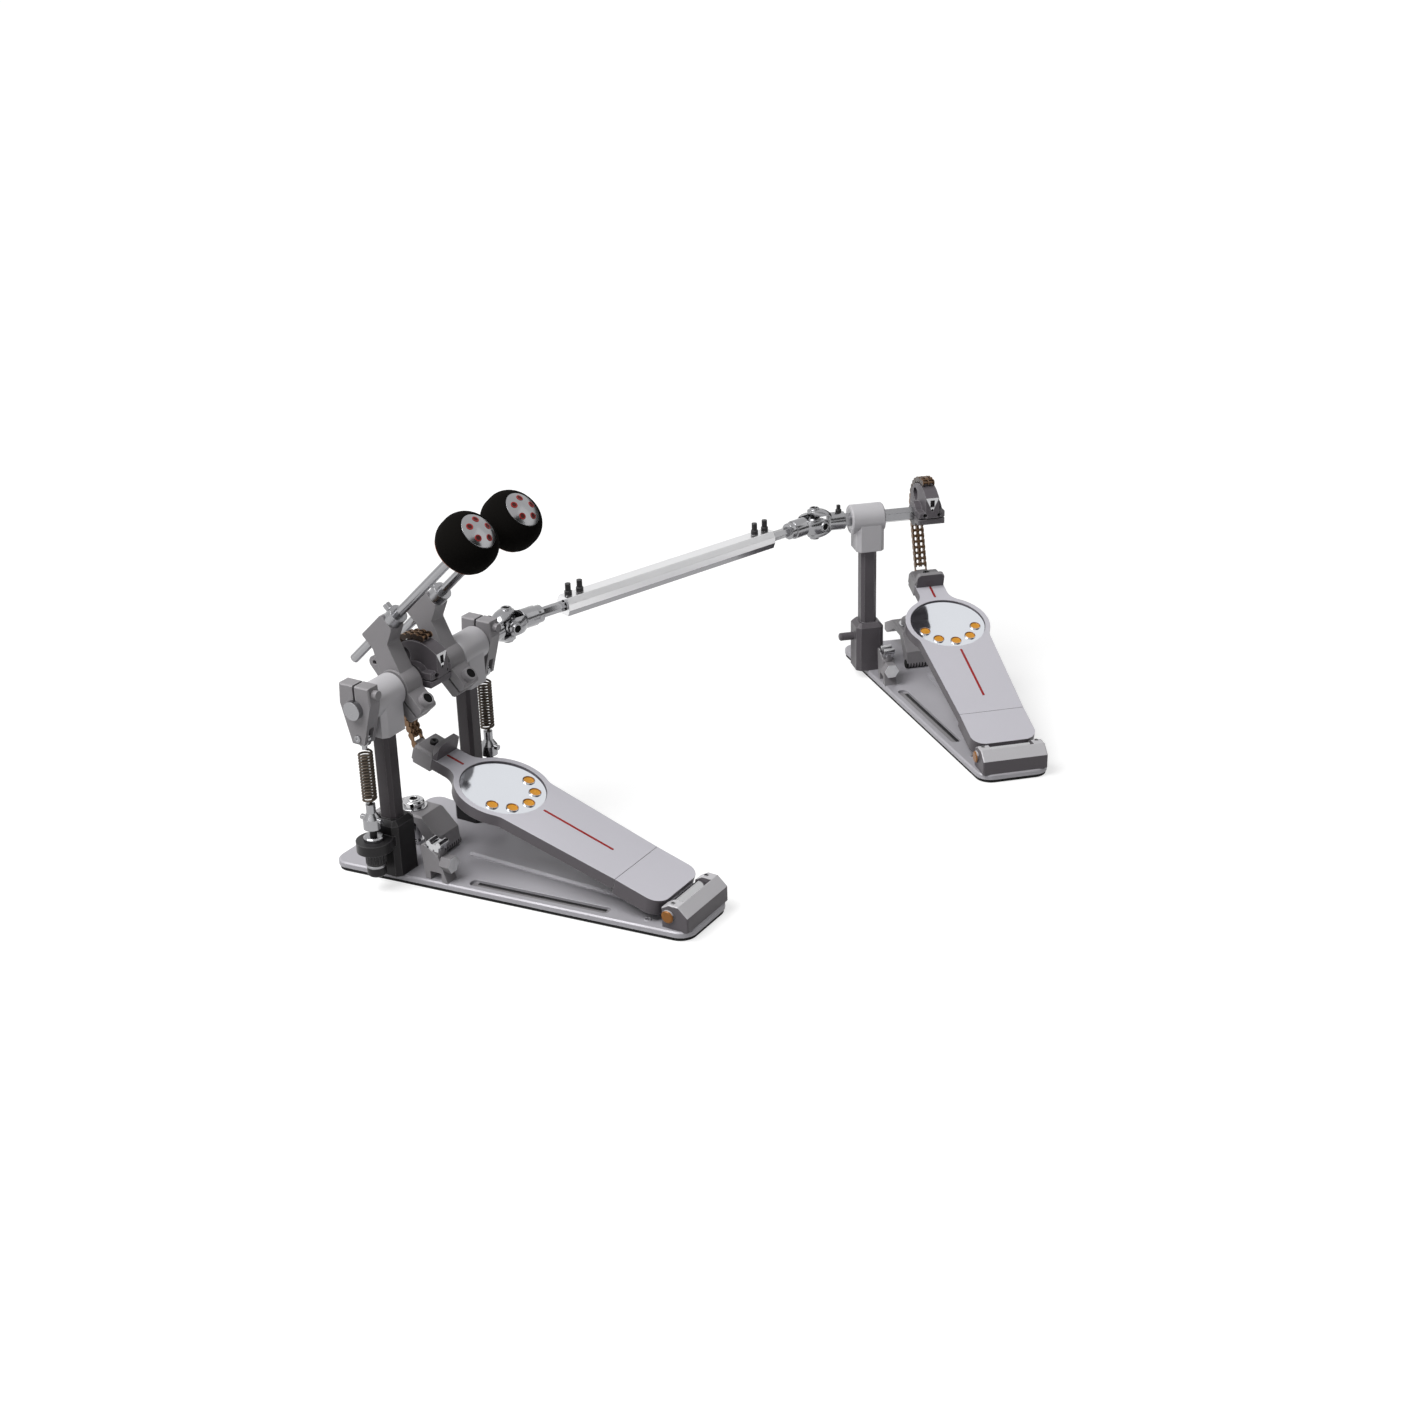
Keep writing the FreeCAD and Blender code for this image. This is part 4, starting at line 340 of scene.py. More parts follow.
@dataclass(frozen=True)
class Layout:
    """The pedals, and the frames of their boards, beaters and link, in each pedal's millimetres."""

    pedals: dict[str, PedalFrame]
    axle_height: float
    hinge: Point
    link_yaw: float
    link_start: Point
    link_length: float
    board_tilt: float = 16.16
    beater_out: float = 28.7
    beater_lean: float = 46.0

    @classmethod
    def read(cls) -> "Layout":
        """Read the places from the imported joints.

        Returns:
            The layout of this part.
        """
        joints = {joint["name"]: joint for joint in frame["joints"]}
        axle, link = joints["slave_axle_turn"], joints["link_turn"]
        origin = (axle["pos_m"][0], axle["pos_m"][1], 0.0)
        pedals = {"main": PedalFrame("main", (0.0, 0.0, 0.0), 0.0),
                  "slave": PedalFrame("slave", origin, math.atan2(-axle["axis"][1], -axle["axis"][0]))}
        start = Vector(link["pos_m"]) / MM
        end = Vector(joints["link_slide_rod_turn"]["pos_m"]) / MM
        hinge = Vector(joints["main_board_press"]["pos_m"]) / MM
        yaw = math.atan2(end.y - start.y, end.x - start.x)
        height = joints["primary_axle_turn"]["pos_m"][2] / MM
        return cls(pedals, height, tuple(hinge), yaw, tuple(start), (end - start).length)

    def board(self) -> Matrix:
        """Give the board's frame: along it on Y, square to it on Z, from the hinge."""
        return Matrix.Translation(self.hinge) @ Matrix.Rotation(math.radians(self.board_tilt), 4, "X")

    def beater(self, side: int) -> Matrix:
        """Give a beater's frame: its arm on Y, its shaft on Z, from the axle."""
        lean = Matrix.Rotation(math.radians(self.beater_lean), 4, "X")
        return Matrix.Translation((self.beater_out * side, 0, self.axle_height)) @ lean

    def link(self) -> Matrix:
        """Give the link's frame, along it on X, from the first universal joint."""
        return Matrix.Translation(self.link_start) @ Matrix.Rotation(self.link_yaw, 4, "Z")


def spot(point: Point, toward: Point = (0, 0, 1)) -> Matrix:
    """Give the matrix that sets a seed's foot on a point with its axis along a direction.

    Args:
        point: The foot's place.
        toward: The direction of the seed's +Z.

    Returns:
        The matrix, in the point's units.
    """
    turn = Vector(toward).to_track_quat("Z", "Y").to_matrix().to_4x4()
    return Matrix.Translation(Vector(point)) @ turn


class Bench:
    """Modelling moves that the pieces share.

    A seed is drawn in millimetres about the origin, standing on Z = 0, and is then copied to its places.
    """

    smooth_below: ClassVar[float] = math.radians(32)
    flat: ClassVar[float] = 0.9
    upright: ClassVar[float] = 0.5
    slack: ClassVar[float] = 0.01

    @staticmethod
    def clear() -> None:
        """Leave edit mode and deselect everything."""
        if bpy.context.object is not None and bpy.context.object.mode != "OBJECT":
            bpy.ops.object.mode_set(mode="OBJECT")
        bpy.ops.object.select_all(action="DESELECT")

    @staticmethod
    def cylinder(radius: float, high: float, sides: int = 24, fill: str = "NGON") -> Piece:
        """Start a seed from a cylinder on Z = 0.

        Args:
            radius: Its radius.
            high: Its height.
            sides: The number of side faces.
            fill: How its ends are closed.

        Returns:
            The new object, selected and active.
        """
        Bench.clear()
        bpy.ops.mesh.primitive_cylinder_add(vertices=sides, radius=radius, depth=high,
                                            end_fill_type=fill, location=(0, 0, high / 2))
        bpy.ops.object.transform_apply(location=True, rotation=False, scale=False)
        return bpy.context.object

    @staticmethod
    def block(size: Point, foot: float = 0.0) -> Piece:
        """Start a seed from a box that stands on Z = foot.

        Args:
            size: Its size along X, Y and Z.
            foot: The height of its underside.

        Returns:
            The new object, selected and active.
        """
        Bench.clear()
        bpy.ops.mesh.primitive_cube_add(size=1, location=(0, 0, foot + size[2] / 2), scale=size)
        bpy.ops.object.transform_apply(location=True, rotation=False, scale=True)
        return bpy.context.object

    @staticmethod
    def select(piece: Piece, part: Part, test: Callable[..., bool]) -> None:
        """Enter edit mode with only some of the mesh selected.

        Args:
            piece: The object.
            part: What is selected.
            test: Takes a face's centre and normal, an edge's two ends, or a point's place.
        """
        bpy.context.view_layer.objects.active = piece
        if piece.mode != "EDIT":
            bpy.ops.object.mode_set(mode="EDIT")
        bpy.ops.mesh.select_mode(type=part.value)
        bpy.ops.mesh.select_all(action="DESELECT")
        bpy.ops.object.mode_set(mode="OBJECT")
        mesh = piece.data
        if part is Part.FACE:
            for face in mesh.polygons:
                face.select = test(face.center, face.normal)
        elif part is Part.EDGE:
            for edge in mesh.edges:
                edge.select = test(*(mesh.vertices[end].co for end in edge.vertices))
        else:
            for vertex in mesh.vertices:
                vertex.select = test(vertex.co)
        bpy.ops.object.mode_set(mode="EDIT")

    @staticmethod
    def select_top(piece: Piece) -> None:
        """Enter edit mode with the faces that look up selected."""
        Bench.select(piece, Part.FACE, lambda centre, normal: normal.z > Bench.flat)

    @staticmethod
    def paint(piece: Piece, *finishes: Finish) -> None:
        """Give a seed its materials, the first one all over."""
        for finish in finishes:
            piece.data.materials.append(finish.material())

    @staticmethod
    def assign(piece: Piece, index: int) -> None:
        """Give the selected faces one of the seed's materials, in edit mode."""
        piece.active_material_index = index
        bpy.ops.object.material_slot_assign()

    @staticmethod
    def round_rim(piece: Piece, radius: float, height: float, offset: float) -> None:
        """Bevel a round edge.

        Args:
            piece: The object.
            radius: The edge's radius about Z.
            height: The edge's height.
            offset: The bevel's width.
        """
        def on_rim(point: Vector) -> bool:
            """Tell whether a point lies on the edge."""
            away = abs(math.hypot(point.x, point.y) - radius)
            return max(away, abs(point.z - height)) < Bench.slack
        Bench.select(piece, Part.EDGE, lambda a, b: on_rim(a) and on_rim(b))
        bpy.ops.mesh.bevel(offset=offset, segments=2, affect="EDGES")
        bpy.ops.object.mode_set(mode="OBJECT")

    @staticmethod
    def modify(piece: Piece, kind: str, **values: object) -> None:
        """Add a modifier with its settings and apply it.

        Args:
            piece: The object.
            kind: The modifier's type.
            **values: Its settings by name.
        """
        bpy.context.view_layer.objects.active = piece
        modifier = piece.modifiers.new(kind.lower(), kind)
        for name, value in values.items():
            setattr(modifier, name, value)
        bpy.ops.object.modifier_apply(modifier=modifier.name)

    @staticmethod
    def soften(piece: Piece, width: float, above: float = 40.0) -> None:
        """Bevel the edges that bend by more than an angle.

        Args:
            piece: The object.
            width: The bevel's width.
            above: The angle in degrees.
        """
        Bench.modify(piece, "BEVEL", width=width, segments=2, limit_method="ANGLE",
                     angle_limit=math.radians(above))

    @staticmethod
    def join(*pieces: Piece) -> Piece:
        """Join objects into the first one.

        Args:
            *pieces: The objects.

        Returns:
            The joined object.
        """
        Bench.clear()
        for piece in pieces:
            piece.select_set(True)
        bpy.context.view_layer.objects.active = pieces[0]
        if len(pieces) > 1:
            bpy.ops.object.join()
        return bpy.context.object


@dataclass(frozen=True)
class Mount:
    """Where pieces are set: the frame of their millimetres, the body they ride on, and their names' start.

    The mount of a piece that bends between two bodies has no body.
    """

    place: Matrix
    body: str | None
    prefix: str

    def settle(self, seed: Piece, name: str, spots: Iterable[Matrix]) -> Piece:
        """Copy a seed to its places as one finished piece, and remove the seed.

        Args:
            seed: The modelled seed, in millimetres.
            name: The finished piece's name, without its start.
            spots: The seed's places in this mount's frame.

        Returns:
            The finished piece, at the origin and unturned.
        """
        Bench.clear()
        copies = []
        for inner in spots:
            copy = seed.copy()
            copy.data = seed.data.copy()
            bpy.context.scene.collection.objects.link(copy)
            copy.matrix_world = self.place @ inner
            copies.append(copy)
        bpy.data.objects.remove(seed)
        for copy in copies:
            copy.select_set(True)
        bpy.context.view_layer.objects.active = copies[0]
        bpy.ops.object.transform_apply(location=True, rotation=True, scale=True)
        piece = Bench.join(*copies)
        bpy.ops.object.shade_smooth_by_angle(angle=Bench.smooth_below)
        piece.name = f"{self.prefix}_{name}"
        if self.body is not None:
            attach(piece, self.body)
        LOG.info("made %s with %d faces", piece.name, len(piece.data.polygons))
        return piece


@dataclass(frozen=True)
class Screw:
    """A round screw head, with a sunk socket of its own radius and depth."""

    radius: float
    high: float
    socket: float
    deep: float
    rim: Finish = STEEL
    well: Finish = HOLLOW_SHADE
    edge_share: ClassVar[float] = 0.15
    edge_most: ClassVar[float] = 0.5

    def seed(self) -> Piece:
        """Make the head.

        Returns:
            The seed.
        """
        piece = Bench.cylinder(self.radius, self.high)
        Bench.paint(piece, self.rim, self.well)
        Bench.select_top(piece)
        bpy.ops.mesh.inset(thickness=self.radius - self.socket)
        bpy.ops.mesh.extrude_region_move(TRANSFORM_OT_translate={"value": (0, 0, -self.deep)})
        # The socket takes the well finish, which by default is painted shade.
        Bench.assign(piece, 1)
        Bench.round_rim(piece, self.radius, self.high, min(self.edge_most, self.radius * self.edge_share))
        return piece


@dataclass(frozen=True)
class Ring:
    """A flat ring with softened rims."""

    inner: float
    outer: float
    high: float
    finish: Finish
    sides: int = 32
    edge_share: ClassVar[float] = 0.2

    def seed(self) -> Piece:
        """Make the ring.

        Returns:
            The seed.
        """
        wide = self.outer - self.inner
        piece = Bench.cylinder(self.outer, self.high, self.sides, "NOTHING")
        Bench.modify(piece, "SOLIDIFY", thickness=wide, offset=-1)
        Bench.soften(piece, min(self.high, wide) * self.edge_share)
        Bench.paint(piece, self.finish)
        return piece


@dataclass(frozen=True)
class Dish:
    """A round stud whose top is hollowed inside a rim, with finishes for the rim, the floor and the wall."""

    radius: float
    high: float
    rim: float
    deep: float
    edge: Finish
    floor: Finish
    wall: Finish
    wall_share: ClassVar[float] = 0.7
    slope_share: ClassVar[float] = 0.55
    edge_share: ClassVar[float] = 0.5

    def seed(self) -> Piece:
        """Make the stud.

        Returns:
            The seed.
        """
        piece = Bench.cylinder(self.radius, self.high, sides=28)
        Bench.paint(piece, self.edge, self.floor, self.wall)
        Bench.select_top(piece)
        bpy.ops.mesh.inset(thickness=self.rim)
        Bench.assign(piece, 2)
        bpy.ops.mesh.inset(thickness=self.rim, depth=-self.deep * self.wall_share)
        Bench.assign(piece, 1)
        bpy.ops.mesh.inset(thickness=(self.radius - self.rim * 2) * self.slope_share,
                           depth=-self.deep * (1 - self.wall_share))
        Bench.round_rim(piece, self.radius, self.high, self.rim * self.edge_share)
        return piece


@dataclass
class FootboardTrim:
    """Inlaid lines, dished studs and the toe screw of one footboard, along Y from its hinge."""

    layout: Layout
    pedal: str
    board_top: float = 5.9
    lines: tuple[Pair, ...] = ((75.7, 146.2), (229.6, 247.2))
    line_wide: float = 2.2
    line_high: float = 0.5
    line_sunk: float = 0.28
    line_end: float = 0.88
    line_shoulder: float = 0.264
    line_crown: float = 0.08
    # The studs' dish walls take the darker amber as painted shade.
    stud: Dish = Dish(radius=5.4, high=2.5, rim=0.45, deep=1.3, edge=POLISHED, floor=AMBER, wall=AMBER_DARK_AND_SHADE)
    stud_circle: float = 26.7
    stud_step: float = 36.5
    stud_foot: float = 2.95
    disc_at: float = 187.9
    screw: Screw = Screw(radius=3.6, high=3.4, socket=2.1, deep=1.8, rim=DARK)
    screw_at: Point = (0.0, 262.0, 9.8)

    def build(self) -> None:
        """Make the pieces on the board's top, the dished studs in place of the plain ones."""
        place = self.layout.pedals[self.pedal].place(self.layout.board())
        mount = Mount(place, f"{self.pedal}_footboard", self.pedal)
        for index, (start, end) in enumerate(self.lines):
            foot = (0, (start + end) / 2, self.board_top - self.line_sunk)
            mount.settle(self._line(end - start), f"red_line_{index}", [Matrix.Translation(foot)])
        turns = [math.radians(step * self.stud_step) for step in (-2, -1, 0, 1, 2)]
        spots = [Matrix.Translation((self.stud_circle * math.sin(turn),
                                     self.disc_at - self.stud_circle * math.cos(turn), self.stud_foot))
                 for turn in turns]
        studs = mount.settle(self.stud.seed(), "dished_studs", spots)
        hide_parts(f"{self.pedal}_traction_studs")
        mount.settle(self.screw.seed(), "toe_screw", [Matrix.Translation(self.screw_at)])

    def _line(self, long: float) -> Piece:
        """Make one inlaid line with rounded ends.

        Args:
            long: Its length.

        Returns:
            The seed.
        """
        strip = Bench.block((self.line_wide, long, self.line_high))
        Bench.select(strip, Part.EDGE, lambda a, b: abs(a.z - b.z) > self.line_high / 2)
        bpy.ops.mesh.bevel(offset=self.line_end, segments=3, affect="EDGES")
        Bench.select_top(strip)
        bpy.ops.mesh.inset(thickness=self.line_shoulder, depth=self.line_crown)
        bpy.ops.object.mode_set(mode="OBJECT")
        Bench.paint(strip, RED)
        return strip


@dataclass
class HeelTrim:
    """Set screws of one heel block, the plate's screws beside it, and dark strips of painted shade in its
    channels.
    """

    layout: Layout
    pedal: str
    ear_screw: Screw = Screw(radius=1.9, high=0.7, socket=1.35, deep=0.5, rim=CAST)
    ear_spots: tuple[Point, ...] = ((-26.2, -256.0, 28.8), (25.4, -255.2, 28.8))
    plate_screw: Screw = Screw(radius=3.2, high=0.9, socket=2.1, deep=0.6, rim=PLATE)
    plate_spots: tuple[Point, ...] = ((-26.9, -231.9, 7.7), (26.9, -231.9, 7.7))
    channel_shade: Point = (3.6, 119.0, 0.5)
    channel_shade_at: Point = (34.75, -134.0, 5.4)
    channel_shade_edge: float = 0.15
    taper: float = 6.56

    def build(self) -> None:
        """Make the screws, and the strips of painted shade in the channels."""
        mount = Mount(self.layout.pedals[self.pedal].place(), f"{self.pedal}_base", self.pedal)
        mount.settle(self.ear_screw.seed(), "heel_screws", map(spot, self.ear_spots))
        mount.settle(self.plate_screw.seed(), "plate_screws", map(spot, self.plate_spots))
        # Near-black strips along the channels' inner walls are painted shade for the grooves' shadow.
        strip = Bench.block(self.channel_shade)
        Bench.modify(strip, "BEVEL", width=self.channel_shade_edge, segments=1)
        Bench.paint(strip, SOCKET_DARK_AND_SHADE)
        x, y, z = self.channel_shade_at
        mount.settle(strip, "channel_shade_strips", [
            Matrix.Translation((x * side, y, z)) @ Matrix.Rotation(math.radians(-self.taper * side), 4, "Z")
            for side in SIDES])


@dataclass
class BeaterTrim:
    """Cap studs, trim line and lug screw of one beater."""

    layout: Layout
    owner: str
    side: int
    arm: float = 42.0
    crown: float = 171.83
    dome: float = 39.0
    stud: Dish = Dish(radius=2.9, high=1.05, rim=0.5, deep=0.18, edge=RED, floor=RUST, wall=RED)
    stud_circle: float = 9.4
    stud_count: int = 5
    stud_start: float = 71.0
    stud_sunk: float = 0.75
    line: Ring = Ring(inner=20.75, outer=21.95, high=0.8, finish=LINE, sides=48)
    line_height: float = 139.6
    lug: Screw = Screw(radius=6.0, high=5.6, socket=4.3, deep=0.4, rim=CAST)
    lug_at: Point = (0.0, -24.0, 9.5)

    def build(self) -> None:
        """Make the pieces of the beater."""
        place = self.layout.pedals["main"].place(self.layout.beater(self.side))
        mount = Mount(place, f"{self.owner}_axle", self.owner)
        mount.settle(self.stud.seed(), "cap_studs", self._stud_spots())
        mount.settle(self.line.seed(), "head_line", [spot((0, self.arm, self.line_height))])
        mount.settle(self.lug.seed(), "lug_screw", [spot(self.lug_at)])

    def _stud_spots(self) -> list[Matrix]:
        """Spread the studs round the cap's dome, square to it.

        Returns:
            The studs' places.
        """
        drop = self.dome - math.sqrt(self.dome ** 2 - self.stud_circle ** 2)
        centre = Vector((0, self.arm, self.crown - self.dome))
        spots = []
        for index in range(self.stud_count):
            turn = math.radians(self.stud_start + 360 / self.stud_count * index)
            out = Vector((math.cos(turn), math.sin(turn), 0)) * self.stud_circle
            toward = (Vector((0, self.arm, self.crown - drop)) + out - centre).normalized()
            spots.append(spot(centre + toward * (self.dome - self.stud_sunk), toward))
        return spots


@dataclass
class DriveTrim:
    """Screws of the cams' clamps, and the keys of the universal joints."""

    layout: Layout
    cams: tuple[tuple[str, str], ...] = (("main", "primary_axle"), ("slave", "slave_axle"))
    screw: Screw = Screw(radius=1.85, high=1.4, socket=1.2, deep=0.8, rim=DARK)
    screw_at: Point = (7.0, -17.4, 3.4)
    hubs: tuple[tuple[str, str, float], ...] = (
        ("main", "secondary_axle", 92.8), ("slave", "slave_axle", -89.8))
    hub_top: float = 8.6
    flange: float = 3.0
    flange_high: float = 3.2
    flange_edge: float = 0.6
    head: Point = (3.4, 3.4, 4.6)
    head_sunk: float = 0.2
    head_edge: float = 0.374

    def build(self) -> None:
        """Make the screws and keys."""
        height = self.layout.axle_height
        out, face, rise = self.screw_at
        for name, axle in self.cams:
            mount = Mount(self.layout.pedals[name].place(), axle, name)
            mount.settle(self.screw.seed(), "clamp_screws", [
                spot((out * side, face, height + rise), (0, -1, 0)) for side in SIDES])
        for name, axle, centre in self.hubs:
            mount = Mount(self.layout.pedals[name].place(), axle, name)
            mount.settle(self._key(), "yoke_key", [spot((centre, 0, height + self.hub_top))])

    def _key(self) -> Piece:
        """Make a key screw: a round flange under a square head.

        Returns:
            The seed.
        """
        base = Bench.cylinder(self.flange, self.flange_high, sides=20)
        Bench.round_rim(base, self.flange, self.flange_high, self.flange_edge)
        head = Bench.block(self.head, self.flange_high - self.head_sunk)
        Bench.modify(head, "BEVEL", width=self.head_edge, segments=2)
        piece = Bench.join(base, head)
        Bench.paint(piece, DARK)
        return piece


@dataclass
class UniversalJoints:
    """Round forks, bearing ports and rods of the two universal joints."""

    layout: Layout
    ball: float = 15.0
    back_stretch: float = 1.35
    arm_half: float = 7.15
    ear_reach: float = 6.9
    ear_turns: tuple[float, ...] = (-60.0, -30.0, 0.0, 30.0, 60.0)
    slot_half: float = 8.3
    slot_back: float = 14.2
    hub_radius: float = 9.0
    hub_end: float = 30.0
    edge: float = 0.7
    rod_radius: float = 4.8
    rod_sides: int = 6
    rod_edge: float = 0.5
    rod_bend: float = 70.0
    collar_radius: float = 8.0
    collar_sides: int = 24
    collar: Pair = (29.0, 36.0)
    drive_end: float = 72.0
    slide_start: float = 227.0
    port: Screw = Screw(radius=4.8, high=2.0, socket=3.4, deep=0.7, rim=JOINT)
    port_from: float = 13.9

    def build(self) -> None:
        """Make the four forks, each with the ports on its ears."""
        near = self.layout.link()
        far = near @ Matrix.Translation((self.layout.link_length, 0, 0))
        turn, flip = Matrix.Rotation(math.pi / 2, 4, "X"), Matrix.Rotation(math.pi, 4, "Z")
        slave_joint = self.layout.pedals["main"].place().inverted() @ self.layout.pedals["slave"].place()
        slave_joint.translation = far.translation
        main_joint = Matrix.Translation(near.translation)
        self._fork("main_yoke", main_joint, "secondary_axle", 0)
        self._fork("link_drive_rod", near @ flip @ turn, "link_tube", self.drive_end)
        self._fork("link_slide_rod", far @ turn, "link_slide_rod", self.layout.link_length - self.slide_start)
        self._fork("slave_yoke", slave_joint @ flip, "slave_axle", 0)

    def _fork(self, name: str, place: Matrix, body: str, rod: float) -> None:
        """Make one fork in place of the plain one.

        Args:
            name: The solid that it replaces.
            place: The joint's frame, with the hub along -X and the ears on Z, in millimetres.
            body: The body that it rides on.
            rod: Where its rod ends, from the joint's centre, or 0 for none.
        """
        parts = [self._ball(), self._hub()]
        if rod > 0:
            parts.append(self._rod(self.rod_radius, self.rod_sides, self.hub_end, rod))
            parts.append(self._rod(self.collar_radius, self.collar_sides, *self.collar))
        for part in parts:
            Bench.paint(part, JOINT, HOLLOW_SHADE)
        for way in (1, -1):
            port = self.port.seed()
            port.matrix_world = spot((0, 0, self.port_from * way), (0, 0, way))
            parts.append(port)
        seed = Bench.join(*parts)
        bpy.ops.object.transform_apply(location=True, rotation=True, scale=True)
        mount = Mount(self.layout.pedals["main"].place(), body, name)
        piece = mount.settle(seed, "round", [place])
        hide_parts(name)

    def _ball(self) -> Piece:
        """Draw a ball out behind and trim it to two round ears, with a slot for the other fork.

        Returns:
            The seed.
        """
        Bench.clear()
        bpy.ops.mesh.primitive_uv_sphere_add(segments=32, ring_count=20, radius=self.ball)
        piece = bpy.context.object
        Bench.select(piece, Part.POINT, lambda p: p.x < -Bench.slack)
        bpy.ops.transform.resize(value=(self.back_stretch, 1, 1), center_override=(0, 0, 0))
        cuts = [(self.arm_half, 90.0), (self.arm_half, -90.0)]
        cuts += [(self.ear_reach, turn) for turn in self.ear_turns]
        bpy.ops.mesh.select_mode(type="FACE")
        for away, turn in cuts:
            normal = Vector((math.cos(math.radians(turn)), math.sin(math.radians(turn)), 0))
            bpy.ops.mesh.select_all(action="SELECT")
            bpy.ops.mesh.bisect(plane_co=normal * away, plane_no=normal, use_fill=True, clear_outer=True)
        bpy.ops.object.mode_set(mode="OBJECT")
        slot = Bench.block((self.ball * 4, self.ball * 4, self.slot_half * 2), -self.slot_half)
        slot.location.x = self.ball * 2 - self.slot_back
        bpy.context.view_layer.update()
        Bench.modify(piece, "BOOLEAN", object=slot, operation="DIFFERENCE", solver="EXACT")
        bpy.data.objects.remove(slot)
        Bench.soften(piece, self.edge)
        return piece

    def _hub(self) -> Piece:
        """Make the round hub behind the ball, with a softened end.

        Returns:
            The seed.
        """
        long = self.hub_end - self.slot_back
        piece = Bench.cylinder(self.hub_radius, long, sides=32)
        Bench.round_rim(piece, self.hub_radius, long, self.edge)
        piece.matrix_world = spot((-self.slot_back, 0, 0), (-1, 0, 0))
        return piece

    def _rod(self, radius: float, sides: int, start: float, end: float) -> Piece:
        """Make a bar along -X with softened ends.

        Args:
            radius: Its radius.
            sides: The number of side faces.
            start: Where it starts, from the joint's centre.
            end: Where it ends.

        Returns:
            The seed.
        """
        piece = Bench.cylinder(radius, end - start, sides)
        Bench.soften(piece, self.rod_edge, self.rod_bend)
        piece.matrix_world = spot((-start, 0, 0), (-1, 0, 0))
        return piece


@dataclass
class SpringSide:
    """One return spring with its knob's ring and grip, and its rocker's pin."""

    layout: Layout
    name: str
    side: int
    out: float = 79.5
    foot: float = 79.0
    head: float = 128.5
    lead: float = 3.2
    lead_steps: int = 4
    lead_rise: float = 0.75
    tuck: float = 0.6
    coil: float = 5.4
    wire: float = 0.95
    turns: int = 16
    steps: int = 16
    ring: Ring = Ring(inner=6.6, outer=8.1, high=2.4, finish=STEEL)
    ring_foot: float = 22.0
    grip_radius: float = 8.05
    grip: Pair = (25.6, 35.4)
    teeth: int = 18
    tooth_high: float = 0.4
    pin: Screw = Screw(radius=3.1, high=1.3, socket=1.5, deep=0.5, well=STEEL)
    pin_drop: float = 26.0
    rocker_half: float = 6.5

    def build(self) -> None:
        """Make the spring and the small pieces beside it."""
        self._spring()
        place, x = self.layout.pedals["main"].place(), self.out * self.side
        knob = Mount(place, f"{self.name}_tension_knob", self.name)
        knob.settle(self.ring.seed(), "knob_ring", [spot((x, 0, self.ring_foot))])
        knob.settle(self._grip(), "knob_grip", [spot((x, 0, self.grip[0]))])
        owner = "primary" if self.side < 0 else "secondary"
        foot = (x + self.rocker_half * self.side, 0, self.layout.axle_height - self.pin_drop)
        rocker = Mount(place, f"{owner}_axle", owner)
        rocker.settle(self.pin.seed(), "rocker_pin", [spot(foot, (self.side, 0, 0))])

    def _grip(self) -> Piece:
        """Make the knurled band of the tension knob.

        Returns:
            The seed.
        """
        piece = Bench.cylinder(self.grip_radius, self.grip[1] - self.grip[0], self.teeth * 2)

        def raised(centre: Vector, normal: Vector) -> bool:
            """Tell whether a side face is a tooth, as every other one is."""
            turn = math.atan2(centre.y, centre.x) / (2 * math.pi) % 1
            return abs(normal.z) < Bench.upright and int(turn * self.teeth * 2) % 2 == 0
        Bench.select(piece, Part.FACE, raised)
        bpy.ops.mesh.extrude_faces_move(TRANSFORM_OT_shrink_fatten={"value": self.tooth_high})
        bpy.ops.object.mode_set(mode="OBJECT")
        Bench.paint(piece, DARK)
        return piece

    def _lead(self, end: float, way: int) -> list[Vector]:
        """Give the wire's points from the axis out towards the coil.

        Args:
            end: The height of the wire's end.
            way: 1 where the coil is above the end, or -1 below it.

        Returns:
            The points, from the end.
        """
        points = [Vector((0, 0, end - self.tuck * way))]
        for index in range(self.lead_steps):
            share = index / self.lead_steps
            rise = self.lead * self.lead_rise * math.sin(share * math.pi / 2)
            points.append(Vector((self.coil * share, 0, end + rise * way)))
        return points

    def _points(self) -> list[Vector]:
        """Give the wire's points: up the axis, out to the coil, round it, and back to the axis.

        Returns:
            The points, in the spring's own frame.
        """
        low, high = self.foot + self.lead, self.head - self.lead
        count = self.turns * self.steps
        middle = []
        for index in range(count + 1):
            turn = 2 * math.pi * index / self.steps
            middle.append(Vector((self.coil * math.cos(turn), self.coil * math.sin(turn),
                                  low + (high - low) * index / count)))
        return self._lead(self.foot, 1) + middle + self._lead(self.head, -1)[::-1]

    def _spring(self) -> None:
        """Make the coil of round wire that stretches between its seat and its hook."""
        Bench.clear()
        points = self._points()
        bpy.ops.curve.primitive_nurbs_path_add()
        coil = bpy.context.object
        coil.data.splines.clear()
        wire = coil.data.splines.new("POLY")
        wire.points.add(len(points) - 1)
        for target, point in zip(wire.points, points):
            target.co = (*point, 1)
        coil.data.bevel_depth = self.wire
        coil.data.bevel_resolution = 2
        coil.data.use_fill_caps = True
        bpy.ops.object.convert(target="MESH")
        coil = bpy.context.object
        Bench.paint(coil, WIRE)
        x = self.out * self.side
        mount = Mount(self.layout.pedals["main"].place(), None, self.name)
        piece = mount.settle(coil, "coil", [Matrix.Translation((x, 0, 0))])
        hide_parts(f"{self.name}_spring")
        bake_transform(piece)


